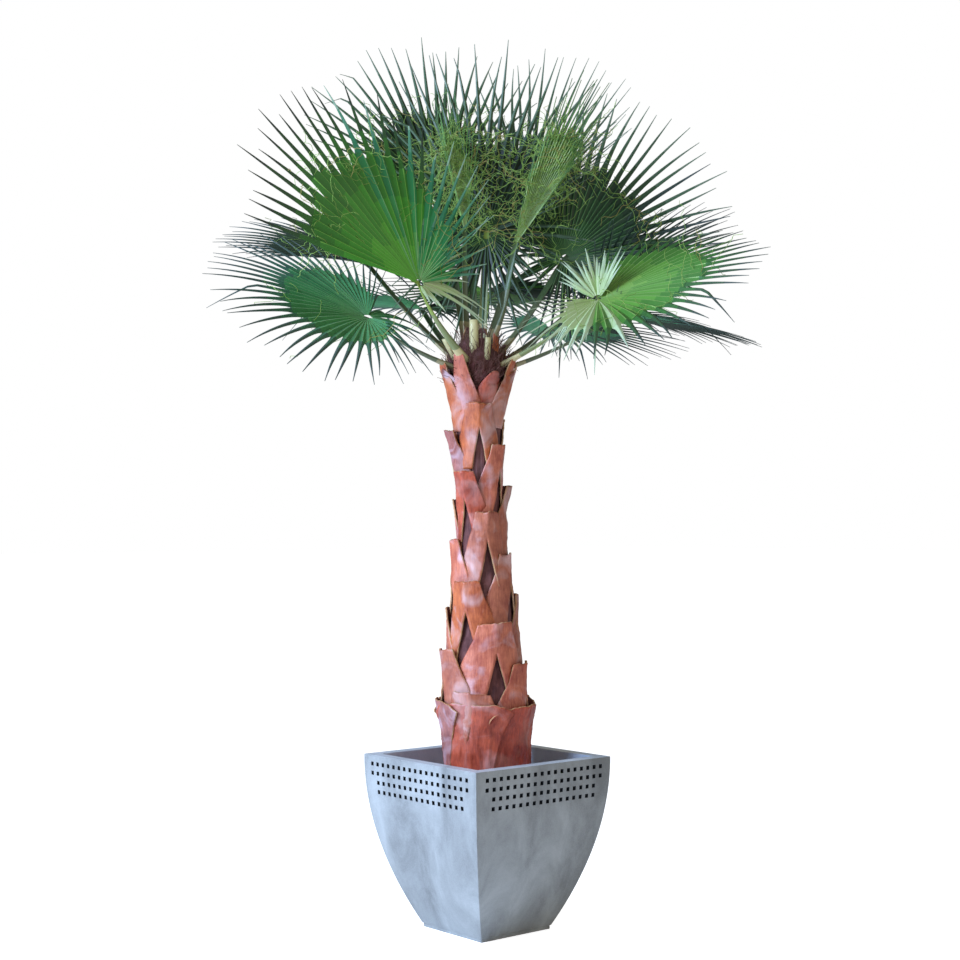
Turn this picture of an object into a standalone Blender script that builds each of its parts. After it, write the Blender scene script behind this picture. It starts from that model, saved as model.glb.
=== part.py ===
"""A young Mexican fan palm in a square planter: planter, soil, trunk with its split leaf bases,
the fibrous crown shaft, and one solid for each fan frond.

The origin is under the middle of the planter, on its flat underside. The planter's faces are square
to X and Y. A bearing is counted in degrees round the upright axis, to the right as one looks at the
plant, from the direction FRONT, which is near the planter's corner between +X and -Y.
"""
import bpy
import bmesh
import math
from mathutils import Vector
from mathutils.bvhtree import BVHTree

for old in list(bpy.data.objects):
    bpy.data.objects.remove(old, do_unlink=True)

# The gap that touching pieces keep
GAP = 0.0003

# Bearing 0, as an angle from +X
FRONT = math.radians(-40.5)

# Planter: a square tub that swells from a narrow foot to upright sides at its rim
PLANTER_SIDE = 0.55
PLANTER_HEIGHT = 0.54
PLANTER_FOOT_SHARE = 0.50
PLANTER_RIM = 0.040
PLANTER_FLOOR = 0.030
PLANTER_STEP_HEIGHT = 0.012
PLANTER_STEP_INSET = 0.003
PLANTER_LEVELS = 8
CAVITY_FLOOR_HALF = 0.10
CUTTER_OVERSHOOT = 0.02
SOIL_TOP = 0.44

# Trunk: (height, radius) of the stem under its leaf bases
TRUNK_PROFILE = (
    (0.4403, 0.112), (0.49, 0.116), (0.56, 0.124), (0.68, 0.128), (0.80, 0.112), (0.96, 0.096),
    (1.10, 0.082), (1.20, 0.069), (1.30, 0.064), (1.45, 0.066), (1.58, 0.071), (1.66, 0.075), (1.70, 0.078),
)
TRUNK_LEAN_BEARING = -90.0
TRUNK_LEAN = 0.030
TRUNK_LEAN_FROM = 0.49
TRUNK_LEAN_TO = 1.66

# Leaf bases, numbered down the stem from the one in front at the top
BASE_FIRST = -1
BASE_LAST = 24
BASE_TOP = 1.643
BASE_DROP = 0.0427
BASE_TURN = 136.0
BASE_FIRST_BEARING = 5.0
BASE_HEIGHT = 0.205
BASE_GROWTH = 0.003
BASE_LOWEST_TOP = 0.690
BASE_LOWEST_FOOT = 0.445
BASE_STAGGER = 0.0007
BASE_LEAN_OUT = 0.024
BASE_SEAT = 0.006
BASE_SUNK = 0.012
BASE_CUP = 0.030
# Half angles of a leaf base at its foot, its middle, its shoulder and its cut top
BASE_ANGLES = (74.0, 66.0, 46.0, 25.0)
BASE_SHARES = (0.0, 0.35, 0.62, 1.0)
BASE_SPLIT_ANGLE = 20.0

# Crown shaft: the brown fibre that the leaf stalks come out of
SHAFT_PROFILE = ((1.7003, 0.074), (1.735, 0.090), (1.77, 0.090), (1.81, 0.074), (1.85, 0.040))

# Leaf stalk: radii inside the shaft, half way, at the blade's foot and at its end under the midrib
STALK_RADII = (0.014, 0.011, 0.009, 0.005)
STALK_LOWEST = 1.722
STALK_RISE = 0.112
STALK_ROOT = 0.020
STALK_IN_BLADE = 0.045
SHAFT_RADIUS = 0.07

# Blades
BLADE_THICK = 0.008
SEGMENT_ANGLE = 13.5
PLEAT = 0.006
NECK_SHARE = 0.30
NECK_HALF_WIDTH = 0.011
SIDE_SHORTENING = 0.55
SIDE_FREEING = 0.60
SIDE_FOLD = math.radians(24)
SHORTEST_TIP = 1.15

# Room that a segment keeps off its neighbours, and the shares of its length that are tried in turn
CLEARANCE = PLEAT + 0.5 * BLADE_THICK + 0.001
TRIAL_START = 0.06
TRIAL_SHARES = (1.0, 0.86, 0.72, 0.58, 0.44, 0.30)

# Each frond: its blade's foot (bearing, reach from the axis, height), the way its midrib points
# (bearing, lift), the way its upper face looks (bearing, lift), the midrib's length, the angles from
# it to the fan's two sides, the joined share of a segment, the dish angle and the droop. Fronds come
# in the order in which they claim their space.
FRONDS = (
    ("frond_01", (-32, 0.38, 1.985), (-60, 28), (34, 34), 0.72, (-28, 120), 0.62, 8, 0.02),
    ("frond_04", (118, 0.29, 2.13), (90, 53), (-13, 22), 0.61, (-105, 105), 0.50, 5, 0.02),
    ("frond_02", (66, 0.375, 1.955), (52, 1), (-6, 53), 0.59, (-114, 114), 0.61, 8, 0.14),
    ("frond_03", (-66, 0.40, 1.90), (-60, 12), (-5, 51), 0.58, (-112, 112), 0.55, 5, 0.16),
    ("young_frond_01", (61, 0.103, 2.142), (80, 64), (0, 10), 0.60, (-14, 14), 0.60, 0, 0.0),
    ("frond_05", (-149, 0.293, 2.355), (-125, 68), (20, 25), 0.59, (-95, 95), 0.50, 8, 0.02),
    ("frond_06", (160, 0.36, 2.30), (150, 68), (-30, 20), 0.62, (-90, 90), 0.45, 10, 0.0),
    ("frond_07", (180, 0.10, 2.20), (-172, 83), (0, 8), 0.65, (-80, 80), 0.45, 8, 0.0),
    ("frond_08", (122, 0.42, 2.05), (112, 20), (170, 70), 0.56, (-105, 105), 0.50, 5, 0.10),
    ("frond_09", (-118, 0.44, 2.12), (-124, 24), (20, 66), 0.55, (-110, 110), 0.55, 6, 0.12),
    ("frond_10", (-148, 0.41, 1.99), (-150, 6), (30, 76), 0.57, (-108, 108), 0.50, 6, 0.14),
    ("frond_11", (180, 0.43, 2.06), (182, -4), (0, 80), 0.54, (-110, 110), 0.55, 6, 0.12),
    ("frond_12", (148, 0.40, 1.93), (150, -8), (-10, 78), 0.52, (-108, 108), 0.50, 6, 0.12),
    ("frond_13", (92, 0.40, 1.92), (96, -8), (-60, 78), 0.48, (-108, 108), 0.50, 6, 0.14),
    ("frond_14", (-172, 0.36, 2.20), (-170, 40), (10, 50), 0.56, (-100, 100), 0.50, 8, 0.05),
    ("young_frond_02", (-120, 0.08, 2.20), (-120, 82), (20, 6), 0.48, (-14, 14), 0.60, 0, 0.0),
)

parts = bpy.data.collections.new("mexican_fan_palm")
cutters = bpy.data.collections.new("cutters")
bpy.context.scene.collection.children.link(parts)
bpy.context.scene.collection.children.link(cutters)


def finish(name, colour, roughness, metallic=0.0):
    """A plain Principled material."""
    result = bpy.data.materials.new(name)
    result.use_nodes = True
    shader = result.node_tree.nodes["Principled BSDF"]
    shader.inputs["Base Color"].default_value = (*colour, 1.0)
    shader.inputs["Roughness"].default_value = roughness
    shader.inputs["Metallic"].default_value = metallic
    return result


PLANTER_FINISH = finish("planter_grey", (0.36, 0.42, 0.48), 0.45, 0.3)
SOIL_FINISH = finish("potting_soil", (0.045, 0.028, 0.018), 0.95)
BASE_FINISH = finish("leaf_base_brown", (0.34, 0.12, 0.06), 0.65)
FIBRE_FINISH = finish("crown_fibre", (0.10, 0.045, 0.030), 0.90)
FROND_FINISH = finish("frond_green", (0.07, 0.22, 0.05), 0.50)
YOUNG_FINISH = finish("young_frond_green", (0.28, 0.50, 0.16), 0.50)


def add_object(name, mesh, collection, material=None):
    """Links a mesh to a collection as an object."""
    result = bpy.data.objects.new(name, mesh)
    collection.objects.link(result)
    if material:
        mesh.materials.clear()
        mesh.materials.append(material)
    return result


def mesh_from(name, build):
    """A mesh whose faces point out, from what build puts in a bmesh."""
    work = bmesh.new()
    build(work)
    bmesh.ops.remove_doubles(work, verts=work.verts, dist=0.00001)
    bmesh.ops.recalc_face_normals(work, faces=work.faces)
    mesh = bpy.data.meshes.new(name)
    work.to_mesh(mesh)
    work.free()
    return mesh


def welded(mesh):
    """Joins a mesh's doubled corners and turns its faces outward."""
    work = bmesh.new()
    work.from_mesh(mesh)
    bmesh.ops.remove_doubles(work, verts=work.verts, dist=0.00002)
    bmesh.ops.dissolve_degenerate(work, edges=work.edges, dist=0.00002)
    bmesh.ops.recalc_face_normals(work, faces=work.faces)
    work.to_mesh(mesh)
    work.free()


def baked(item):
    """Replaces an object's mesh by the one its modifiers give."""
    depsgraph = bpy.context.evaluated_depsgraph_get()
    mesh = bpy.data.meshes.new_from_object(item.evaluated_get(depsgraph))
    item.modifiers.clear()
    item.data = mesh


def combine(base, operation, others):
    """Joins or cuts an object with a collection of others, which are then removed."""
    tools = bpy.data.collections.new(base.name + "_tools")
    bpy.context.scene.collection.children.link(tools)
    for other in others:
        tools.objects.link(other)
    boolean = base.modifiers.new(operation.lower(), "BOOLEAN")
    boolean.operation = operation
    boolean.operand_type = "COLLECTION"
    boolean.collection = tools
    boolean.solver = "EXACT"
    baked(base)
    welded(base.data)
    for other in others:
        bpy.data.objects.remove(other, do_unlink=True)
    bpy.data.collections.remove(tools)


def toward(bearing, lift):
    """The unit vector at a bearing and a lift above level."""
    turn = FRONT + math.radians(bearing)
    rise = math.radians(lift)
    return Vector((math.cos(rise) * math.cos(turn), math.cos(rise) * math.sin(turn), math.sin(rise)))


def between(profile, height):
    """The radius that a (height, radius) profile has at a height."""
    for (low, low_radius), (high, high_radius) in zip(profile, profile[1:]):
        if height <= high:
            share = max(0.0, (height - low) / (high - low))
            return low_radius + share * (high_radius - low_radius)
    return profile[-1][1]


def stem_centre(height):
    """The stem's middle, which leans a little to one side between its upright ends."""
    share = (height - TRUNK_LEAN_FROM) / (TRUNK_LEAN_TO - TRUNK_LEAN_FROM)
    share = min(max(share, 0.0), 1.0)
    return toward(TRUNK_LEAN_BEARING, 0) * (TRUNK_LEAN * share) + Vector((0, 0, height))


def tube(name, points, radii, sides_step):
    """A closed tube along points, as a mesh object."""
    curve = bpy.data.curves.new(name, "CURVE")
    curve.dimensions = "3D"
    curve.bevel_depth = 1.0
    curve.bevel_resolution = sides_step
    curve.use_fill_caps = True
    line = curve.splines.new("POLY")
    line.points.add(len(points) - 1)
    for spot, place, radius in zip(line.points, points, radii):
        spot.co = (*place, 1.0)
        spot.radius = radius
    guide = add_object(name + "_path", curve, parts)
    depsgraph = bpy.context.evaluated_depsgraph_get()
    mesh = bpy.data.meshes.new_from_object(guide.evaluated_get(depsgraph))
    welded(mesh)
    bpy.data.objects.remove(guide, do_unlink=True)
    return add_object(name, mesh, parts)


def square_loft(levels):
    """Builds a square solid from (height, half side) levels."""
    def build(work):
        rings = []
        for height, half in levels:
            corners = ((-half, -half), (half, -half), (half, half), (-half, half))
            rings.append([work.verts.new((x, y, height)) for x, y in corners])
        for lower, upper in zip(rings, rings[1:]):
            for side in range(4):
                following = (side + 1) % 4
                work.faces.new((lower[side], lower[following], upper[following], upper[side]))
        work.faces.new(rings[0])
        work.faces.new(rings[-1])
    return build


# Planter
def planter_half(height):
    """Half the planter's side at a height: a parabola that is upright at the rim."""
    short = 1.0 - height / PLANTER_HEIGHT
    return 0.5 * PLANTER_SIDE * (1.0 - (1.0 - PLANTER_FOOT_SHARE) * short * short)


step_half = planter_half(PLANTER_STEP_HEIGHT)
foot_half = step_half - PLANTER_STEP_INSET
outer_levels = [(0.0, foot_half), (PLANTER_STEP_HEIGHT, foot_half)]
for level in range(PLANTER_LEVELS + 1):
    height = PLANTER_STEP_HEIGHT + (PLANTER_HEIGHT - PLANTER_STEP_HEIGHT) * level / PLANTER_LEVELS
    outer_levels.append((height, planter_half(height)))
planter = add_object("planter", mesh_from("planter", square_loft(outer_levels)), parts, PLANTER_FINISH)

rim_half = 0.5 * PLANTER_SIDE - PLANTER_RIM
cavity_top = PLANTER_HEIGHT + CUTTER_OVERSHOOT
cavity_levels = [(PLANTER_FLOOR, CAVITY_FLOOR_HALF), (SOIL_TOP, rim_half), (cavity_top, rim_half)]
cavity = add_object("planter_cavity", mesh_from("planter_cavity", square_loft(cavity_levels)), cutters)
cavity.display_type = "WIRE"
cavity.hide_render = True
hollow = planter.modifiers.new("cavity", "BOOLEAN")
hollow.operation = "DIFFERENCE"
hollow.object = cavity
hollow.solver = "EXACT"

# Soil, which fills the cavity with a clear gap all round
soil_levels = [(PLANTER_FLOOR + GAP, CAVITY_FLOOR_HALF - GAP), (SOIL_TOP, rim_half - GAP)]
soil = add_object("soil", mesh_from("soil", square_loft(soil_levels)), parts, SOIL_FINISH)


# Trunk: a tapered stem, with a split leaf base at each step of the spiral
def leaf_base(number):
    """One leaf base: two legs that join in a flat cut top, which leans out from the stem."""
    top = max(BASE_TOP - BASE_DROP * number, BASE_LOWEST_TOP + BASE_STAGGER * number)
    foot = max(top - BASE_HEIGHT - BASE_GROWTH * number, BASE_LOWEST_FOOT + BASE_STAGGER * number)
    bearing = BASE_FIRST_BEARING + BASE_TURN * number

    def place(share, angle, sunk):
        height = foot + share * (top - foot)
        radius = between(TRUNK_PROFILE, height) + BASE_SEAT + BASE_LEAN_OUT * share * share
        if sunk:
            radius = between(TRUNK_PROFILE, height) - BASE_SUNK
            height -= BASE_CUP if share == 1.0 else 0.0
        return stem_centre(height) + toward(bearing + angle, 0) * radius

    def columns(row):
        share, half = BASE_SHARES[row], BASE_ANGLES[row]
        split = BASE_SPLIT_ANGLE * max(0.0, 1.0 - share / BASE_SHARES[2])
        middle = 0.5 * (half + split)
        return (-half, -middle, -split), (split, middle, half)

    def build(work):
        spots = {}

        def spot(row, angle, sunk):
            key = (row, round(angle, 3), sunk)
            if key not in spots:
                spots[key] = work.verts.new(place(BASE_SHARES[row], angle, sunk))
            return spots[key]

        cells = []
        for row in range(len(BASE_SHARES) - 1):
            for low, high in zip(columns(row), columns(row + 1)):
                for side in (0, 1):
                    foot_edge = [(row, low[side]), (row, low[side + 1])]
                    top_edge = [(row + 1, high[side + 1]), (row + 1, high[side])]
                    cells.append([(step, round(angle, 3)) for step, angle in foot_edge + top_edge])
        edges = {pair for cell in cells for pair in zip(cell, cell[1:] + cell[:1])}
        for cell in cells:
            work.faces.new([spot(*corner, False) for corner in cell])
            work.faces.new([spot(*corner, True) for corner in reversed(cell)])
        for start, end in edges:
            if (end, start) not in edges:
                work.faces.new((spot(*start, True), spot(*end, True), spot(*end, False), spot(*start, False)))

    return add_object(f"leaf_base_{number}", mesh_from(f"leaf_base_{number}", build), parts)


stem_heights = [height for height, radius in TRUNK_PROFILE]
trunk = tube("trunk", [stem_centre(height) for height in stem_heights],
             [radius for height, radius in TRUNK_PROFILE], 6)
combine(trunk, "UNION", [leaf_base(number) for number in range(BASE_FIRST, BASE_LAST + 1)])
trunk.data.materials.clear()
trunk.data.materials.append(BASE_FINISH)


# Crown shaft
def shaft_solid(name, clearance):
    """The fibre's solid, grown all round by a clearance."""
    points = [stem_centre(height) for height, radius in SHAFT_PROFILE]
    points[0].z -= clearance
    points[-1].z += clearance
    return tube(name, points, [radius + clearance for height, radius in SHAFT_PROFILE], 5)


shaft = shaft_solid("crown_shaft", 0.0)
shaft.data.materials.append(FIBRE_FINISH)


# Fronds
class Frond:
    """Where one fan lies: its foot, its midrib's way and its face's way."""

    def __init__(self, row):
        self.name, foot, rib, face, self.length, self.sides, self.joined, dish, self.droop = row
        bearing, reach, height = foot
        self.foot = toward(bearing, 0) * reach + Vector((0, 0, height))
        self.rib = toward(*rib)
        looks = toward(*face)
        self.face = (looks - self.rib * looks.dot(self.rib)).normalized()
        self.side = self.rib.cross(self.face)
        self.dish = math.radians(dish)
        self.spread = max(-self.sides[0], self.sides[1])
        self.count = max(3, round((self.sides[1] - self.sides[0]) / SEGMENT_ANGLE))

    def angle(self, step):
        """The angle of the line between two segments, in degrees from the midrib."""
        first, last = self.sides
        return first + (last - first) * step / self.count

    def sideness(self, angle):
        """How near an angle is to the fan's sides, from 0 at the midrib to 1."""
        return min(1.0, abs(angle) / self.spread)

    def reach(self, angle):
        """The length of a segment, which is shorter toward the fan's sides."""
        return self.length * (1.0 - SIDE_SHORTENING * self.sideness(angle) ** 3)

    def joined_reach(self, angle):
        """How far out the segments are joined, which is less toward the fan's sides."""
        return self.reach(angle) * self.joined * (1.0 - SIDE_FREEING * self.sideness(angle) ** 4)

    def point(self, angle, distance, aside=0.0, lift=0.0):
        """A place on the blade: along the line at an angle, with a step aside and off the face."""
        turn = math.radians(angle)
        dish = self.dish + SIDE_FOLD * self.sideness(angle) ** 4
        flat = self.rib * math.cos(turn) + self.side * math.sin(turn)
        across = self.side * math.cos(turn) - self.rib * math.sin(turn)
        along = flat * math.cos(dish) + self.face * math.sin(dish)
        sag = Vector((0, 0, self.droop * distance * distance / self.length))
        return self.foot + along * distance + across * aside + self.face * lift - sag

    def stalk(self):
        """The leaf stalk, which leaves the shaft low on a spreading frond and high on a steep one."""
        away = (self.foot - stem_centre(STALK_LOWEST)).to_2d()
        steepness = math.atan2(self.foot.z - STALK_LOWEST, abs(away.length - SHAFT_RADIUS))
        height = STALK_LOWEST + STALK_RISE * (steepness / math.radians(90))
        outward = Vector((away.x, away.y, 0)).normalized()
        start = stem_centre(height) + outward * (between(SHAFT_PROFILE, height) - STALK_ROOT)
        ending = self.foot + self.rib * STALK_IN_BLADE
        points = [start, start.lerp(self.foot, 0.5), self.foot, ending]
        return tube(self.name + "_stalk", points, STALK_RADII, 1)

    def segment_trial(self, step, share):
        """Faces of one thick segment, to test what it would touch."""
        left, right = self.angle(step), self.angle(step + 1)
        middle = 0.5 * (left + right)
        tip = self.reach(middle) * share
        joined = min(self.joined_reach(middle), tip)
        places, faces = [], []
        neck = joined + NECK_SHARE * (tip - joined)
        outline = [
            (left, TRIAL_START, 0), (left, joined, 0), (middle, neck, -NECK_HALF_WIDTH), (middle, tip, 0),
            (middle, neck, NECK_HALF_WIDTH), (right, joined, 0), (right, TRIAL_START, 0),
        ]
        for lift in (-CLEARANCE, CLEARANCE):
            places += [self.point(angle, distance, aside, lift) for angle, distance, aside in outline]
        size = len(outline)
        faces.append(tuple(range(size)))
        faces.append(tuple(range(size, 2 * size)))
        for corner in range(size):
            following = (corner + 1) % size
            faces.append((corner, following, size + following, size + corner))
        return BVHTree.FromPolygons(places, faces)

    def free_shares(self, taken):
        """How much of each segment is clear of what is taken, in the longest run of such segments."""
        runs = [{}]
        for step in range(self.count):
            fits = [share for share in TRIAL_SHARES
                    if not any(tree.overlap(self.segment_trial(step, share)) for tree in taken)]
            if fits:
                runs[-1][step] = fits[0]
            else:
                runs.append({})
        return max(runs, key=len)

    def blade(self, shares):
        """The fan as one open surface with a notch between any two segments, made solid by Solidify."""
        def joined_at(step):
            limits = []
            for near in (step - 1, step):
                if near in shares:
                    middle = self.angle(near + 0.5)
                    limits.append(min(self.joined_reach(middle), self.reach(middle) * shares[near]))
            return min(limits)

        def build(work):
            foot = work.verts.new(self.foot)
            notches = {}
            for step in sorted(shares):
                for edge in (step, step + 1):
                    if edge not in notches:
                        place = self.point(self.angle(edge), joined_at(edge), 0.0, -PLEAT)
                        notches[edge] = work.verts.new(place)
                middle = self.angle(step + 0.5)
                tip = self.reach(middle) * shares[step]
                joined = min(joined_at(step), joined_at(step + 1))
                left, right = notches[step], notches[step + 1]
                rib = work.verts.new(self.point(middle, joined, 0.0, PLEAT))
                work.faces.new((foot, left, rib))
                work.faces.new((foot, rib, right))
                if tip < joined * SHORTEST_TIP:
                    continue
                neck = joined + NECK_SHARE * (tip - joined)
                neck_left = work.verts.new(self.point(middle, neck, -NECK_HALF_WIDTH))
                neck_right = work.verts.new(self.point(middle, neck, NECK_HALF_WIDTH))
                end = work.verts.new(self.point(middle, tip))
                work.faces.new((left, neck_left, rib))
                work.faces.new((rib, neck_left, neck_right))
                work.faces.new((rib, neck_right, right))
                work.faces.new((neck_left, end, neck_right))

        result = add_object(self.name, mesh_from(self.name, build), parts)
        shell = result.modifiers.new("thickness", "SOLIDIFY")
        shell.thickness = BLADE_THICK
        shell.offset = 0.0
        baked(result)
        return result


def tree_of(item):
    """The surface of an object, to test against."""
    corners = [vertex.co for vertex in item.data.vertices]
    return BVHTree.FromPolygons(corners, [tuple(face.vertices) for face in item.data.polygons])


fronds = [Frond(row) for row in FRONDS]
stalks = {frond.name: frond.stalk() for frond in fronds}
stalk_trees = {name: tree_of(stalk) for name, stalk in stalks.items()}
blade_trees = [tree_of(trunk), tree_of(shaft)]
for frond in fronds:
    others = [tree for name, tree in stalk_trees.items() if name != frond.name]
    blade = frond.blade(frond.free_shares(others + blade_trees))
    combine(blade, "UNION", [stalks[frond.name]])
    combine(blade, "DIFFERENCE", [shaft_solid("shaft_clearance", GAP)])
    blade.data.materials.clear()
    blade.data.materials.append(YOUNG_FINISH if frond.name.startswith("young") else FROND_FINISH)
    blade_trees.append(tree_of(blade))
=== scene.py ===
"""A young Mexican fan palm in a square planter, dressed over the solids of its construction model.

World frame in metres, +Z up. The planter's faces are square to X and Y. A bearing is counted in
degrees to the right round the upright axis, from the direction FRONT, which faces the viewer.
"""
import bisect
import math
import random

import bmesh
import bpy
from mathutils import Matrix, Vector, noise


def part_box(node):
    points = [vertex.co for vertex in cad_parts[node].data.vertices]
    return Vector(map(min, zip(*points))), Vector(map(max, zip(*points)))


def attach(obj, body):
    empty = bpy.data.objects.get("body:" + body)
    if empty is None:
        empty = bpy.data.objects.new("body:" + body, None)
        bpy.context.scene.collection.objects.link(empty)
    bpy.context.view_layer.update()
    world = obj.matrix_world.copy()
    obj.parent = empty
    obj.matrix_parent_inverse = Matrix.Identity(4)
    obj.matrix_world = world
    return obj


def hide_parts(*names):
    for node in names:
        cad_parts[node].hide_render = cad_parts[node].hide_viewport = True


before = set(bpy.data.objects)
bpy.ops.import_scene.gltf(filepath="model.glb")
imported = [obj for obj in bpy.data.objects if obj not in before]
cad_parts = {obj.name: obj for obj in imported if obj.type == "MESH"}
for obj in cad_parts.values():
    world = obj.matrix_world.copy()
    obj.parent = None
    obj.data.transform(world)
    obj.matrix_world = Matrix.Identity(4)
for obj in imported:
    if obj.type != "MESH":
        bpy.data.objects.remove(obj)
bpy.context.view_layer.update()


# Viewpoint: a camera that stands off the planter's front corner, near the height of the trunk's
# middle, and looks a little upward, as the photograph does.
CAMERA_DISTANCE = 5.369
CAMERA_BEARING = math.radians(49.5)
CAMERA_HEIGHT = 1.270
CAMERA_PITCH = math.radians(91.44)
CAMERA_YAW = math.radians(49.72)
CAMERA_LENS_MM = 63.75

camera_data = bpy.data.cameras.new("viewpoint")
camera_data.lens = CAMERA_LENS_MM
camera = bpy.data.objects.new("viewpoint", camera_data)
camera.location = (CAMERA_DISTANCE * math.sin(CAMERA_BEARING),
                   -CAMERA_DISTANCE * math.cos(CAMERA_BEARING), CAMERA_HEIGHT)
camera.rotation_euler = (CAMERA_PITCH, 0.0, CAMERA_YAW)
bpy.context.scene.collection.objects.link(camera)
bpy.context.scene.camera = camera


# Studio: a plain white floor and white surround, a large soft window light on the left that is a
# little blue, and a weaker neutral one on the right, as the planter's two faces show.
FLOOR_HALF = 60.0
PAPER_CLOUD_SIZE = 40.0
PAPER_GLOW = 0.80
PAPER_LIGHT = 0.05
SURROUND_GLOW = 1.0
SURROUND_LIGHT = 0.33
CORNERS = ((-1.0, -1.0), (1.0, -1.0), (1.0, 1.0), (-1.0, 1.0))
# Each light: its name, side in metres, power in watts, colour, place and what it looks at
LIGHTS = (
    ("window_left", 3.2, 530.0, "#bcd6ff", (-0.9, -4.6, 2.9), (0.0, 0.0, 1.3)),
    ("fill_right", 3.0, 24.0, "#fff4e6", (4.6, 0.6, 3.4), (0.0, 0.0, 1.9)),
)


def linear(code):
    """A colour socket's value, from an sRGB hex code."""
    channels = [int(code[place:place + 2], 16) / 255.0 for place in (1, 3, 5)]
    return tuple(c / 12.92 if c <= 0.04045 else ((c + 0.055) / 1.055) ** 2.4 for c in channels) + (1.0,)


def add_node(tree, kind, inputs=None, **settings):
    """Adds a node. Each input is given a value, an output, or a node whose first output it takes."""
    node = tree.nodes.new(kind)
    for name, value in settings.items():
        setattr(node, name, value)
    for name, value in (inputs or {}).items():
        if isinstance(value, bpy.types.Node):
            value = value.outputs[0]
        if isinstance(value, bpy.types.NodeSocket):
            tree.links.new(value, node.inputs[name])
        else:
            node.inputs[name].default_value = value
    return node


def new_material(name, roughness, colour="#808080", **uniform):
    """A Principled material: itself, its tree and its shader, with the shader's uniform values set."""
    material = bpy.data.materials.new(name)
    material.use_nodes = True
    shader = material.node_tree.nodes["Principled BSDF"]
    shader.inputs["Base Color"].default_value = linear(colour)
    shader.inputs["Roughness"].default_value = roughness
    for socket, value in uniform.items():
        shader.inputs[socket.replace("_", " ")].default_value = value
    return material, material.node_tree, shader


def add_object(name, mesh, materials):
    """Links a mesh as an object at the origin, with its materials in order."""
    result = bpy.data.objects.new(name, mesh)
    bpy.context.scene.collection.objects.link(result)
    for material in materials:
        mesh.materials.append(material)
    return result


def grained_finish(name, roughness, dark, light, grain_size, **uniform):
    """A plain finish, between two tones by a fine grain: itself, its tree, its shader and its grain."""
    material, tree, shader = new_material(name, roughness, **uniform)
    place = add_node(tree, "ShaderNodeTexCoord")
    grain = add_node(tree, "ShaderNodeTexNoise", {
        "Vector": place.outputs["Object"], "Scale": 1.0 / grain_size, "Detail": 5.0})
    tint = add_node(tree, "ShaderNodeMix", {0: grain, 6: linear(dark), 7: linear(light)}, data_type="RGBA")
    tree.links.new(tint.outputs[2], shader.inputs["Base Color"])
    return material, tree, shader, grain


# Matt white studio paper, overexposed to the eye so that it keeps only a soft contact shade
paper, paper_tree, paper_shader = grained_finish(
    "studio_paper", 0.9, "#f4f4f4", "#fbfbfb", PAPER_CLOUD_SIZE, Emission_Color=(1.0, 1.0, 1.0, 1.0))[:3]
paper_seen = add_node(paper_tree, "ShaderNodeLightPath")
paper_glow = add_node(paper_tree, "ShaderNodeMapRange", {
    "Value": paper_seen.outputs["Is Camera Ray"], 3: PAPER_LIGHT, 4: PAPER_GLOW})
paper_tree.links.new(paper_glow.outputs["Result"], paper_shader.inputs["Emission Strength"])

floor_mesh = bpy.data.meshes.new("studio_floor")
floor_mesh.from_pydata([(x * FLOOR_HALF, y * FLOOR_HALF, 0.0) for x, y in CORNERS], [], [(0, 1, 2, 3)])
add_object("studio_floor", floor_mesh, [paper])

world = bpy.data.worlds.new("studio_surround")
bpy.context.scene.world = world
world.use_nodes = True
surround = world.node_tree.nodes["Background"]
surround.inputs["Color"].default_value = (1.0, 1.0, 1.0, 1.0)
surround_seen = add_node(world.node_tree, "ShaderNodeLightPath")
surround_strength = add_node(world.node_tree, "ShaderNodeMapRange", {
    "Value": surround_seen.outputs["Is Camera Ray"], 3: SURROUND_LIGHT, 4: SURROUND_GLOW})
world.node_tree.links.new(surround_strength.outputs["Result"], surround.inputs["Strength"])
bpy.context.scene.view_settings.view_transform = "Standard"

for name, side, watts, colour, place, target in LIGHTS:
    light_data = bpy.data.lights.new(name, "AREA")
    light_data.size = side
    light_data.energy = watts
    light_data.color = linear(colour)[:3]
    light = bpy.data.objects.new(name, light_data)
    light.location = place
    light.rotation_euler = (Vector(target) - Vector(place)).to_track_quat("-Z", "Y").to_euler()
    bpy.context.scene.collection.objects.link(light)


# Planter: a square tub of glass-fibre reinforced polyester, laid up in a polished mould and painted.
# It swells from a narrow foot to upright sides, with sharp corners, a flat lip 40 mm wide and a thin
# step round its foot. Under the lip a band of small square holes is cut in each face.
PLANTER_FOOT_SHARE = 0.50
PLANTER_LIP = 0.040
PLANTER_STEP_HEIGHT = 0.012
PLANTER_STEP_INSET = 0.003
PLANTER_LEVELS = 28
PLANTER_FLOOR = 0.030
PLANTER_FLOOR_HALF = 0.10
PLANTER_ARRIS = 0.0022
PLANTER_CLOUD_SIZE = 0.143
PLANTER_PEEL_SIZE = 0.00385
PLANTER_PEEL_DEPTH = 0.0006
HOLE_SHADE_GRAIN = 0.006
SOIL_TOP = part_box("soil")[1][2]
HOLE_SIDE = 0.0125
HOLE_DEPTH = 0.020
HOLE_PITCH = 0.0272
HOLE_ROW_STEP = 0.029
HOLE_FIRST_ROW = 0.027
HOLE_LONG_ROW = 18
HOLE_SHORT_ROW = 16

planter_low, planter_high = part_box("planter")
planter_half = 0.5 * (planter_high[0] - planter_low[0])
planter_height = planter_high[2]


def planter_half_at(height):
    """Half the planter's side at a height: a parabola that is upright at the rim."""
    short = 1.0 - height / planter_height
    return planter_half * (1.0 - (1.0 - PLANTER_FOOT_SHARE) * short * short)


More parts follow.
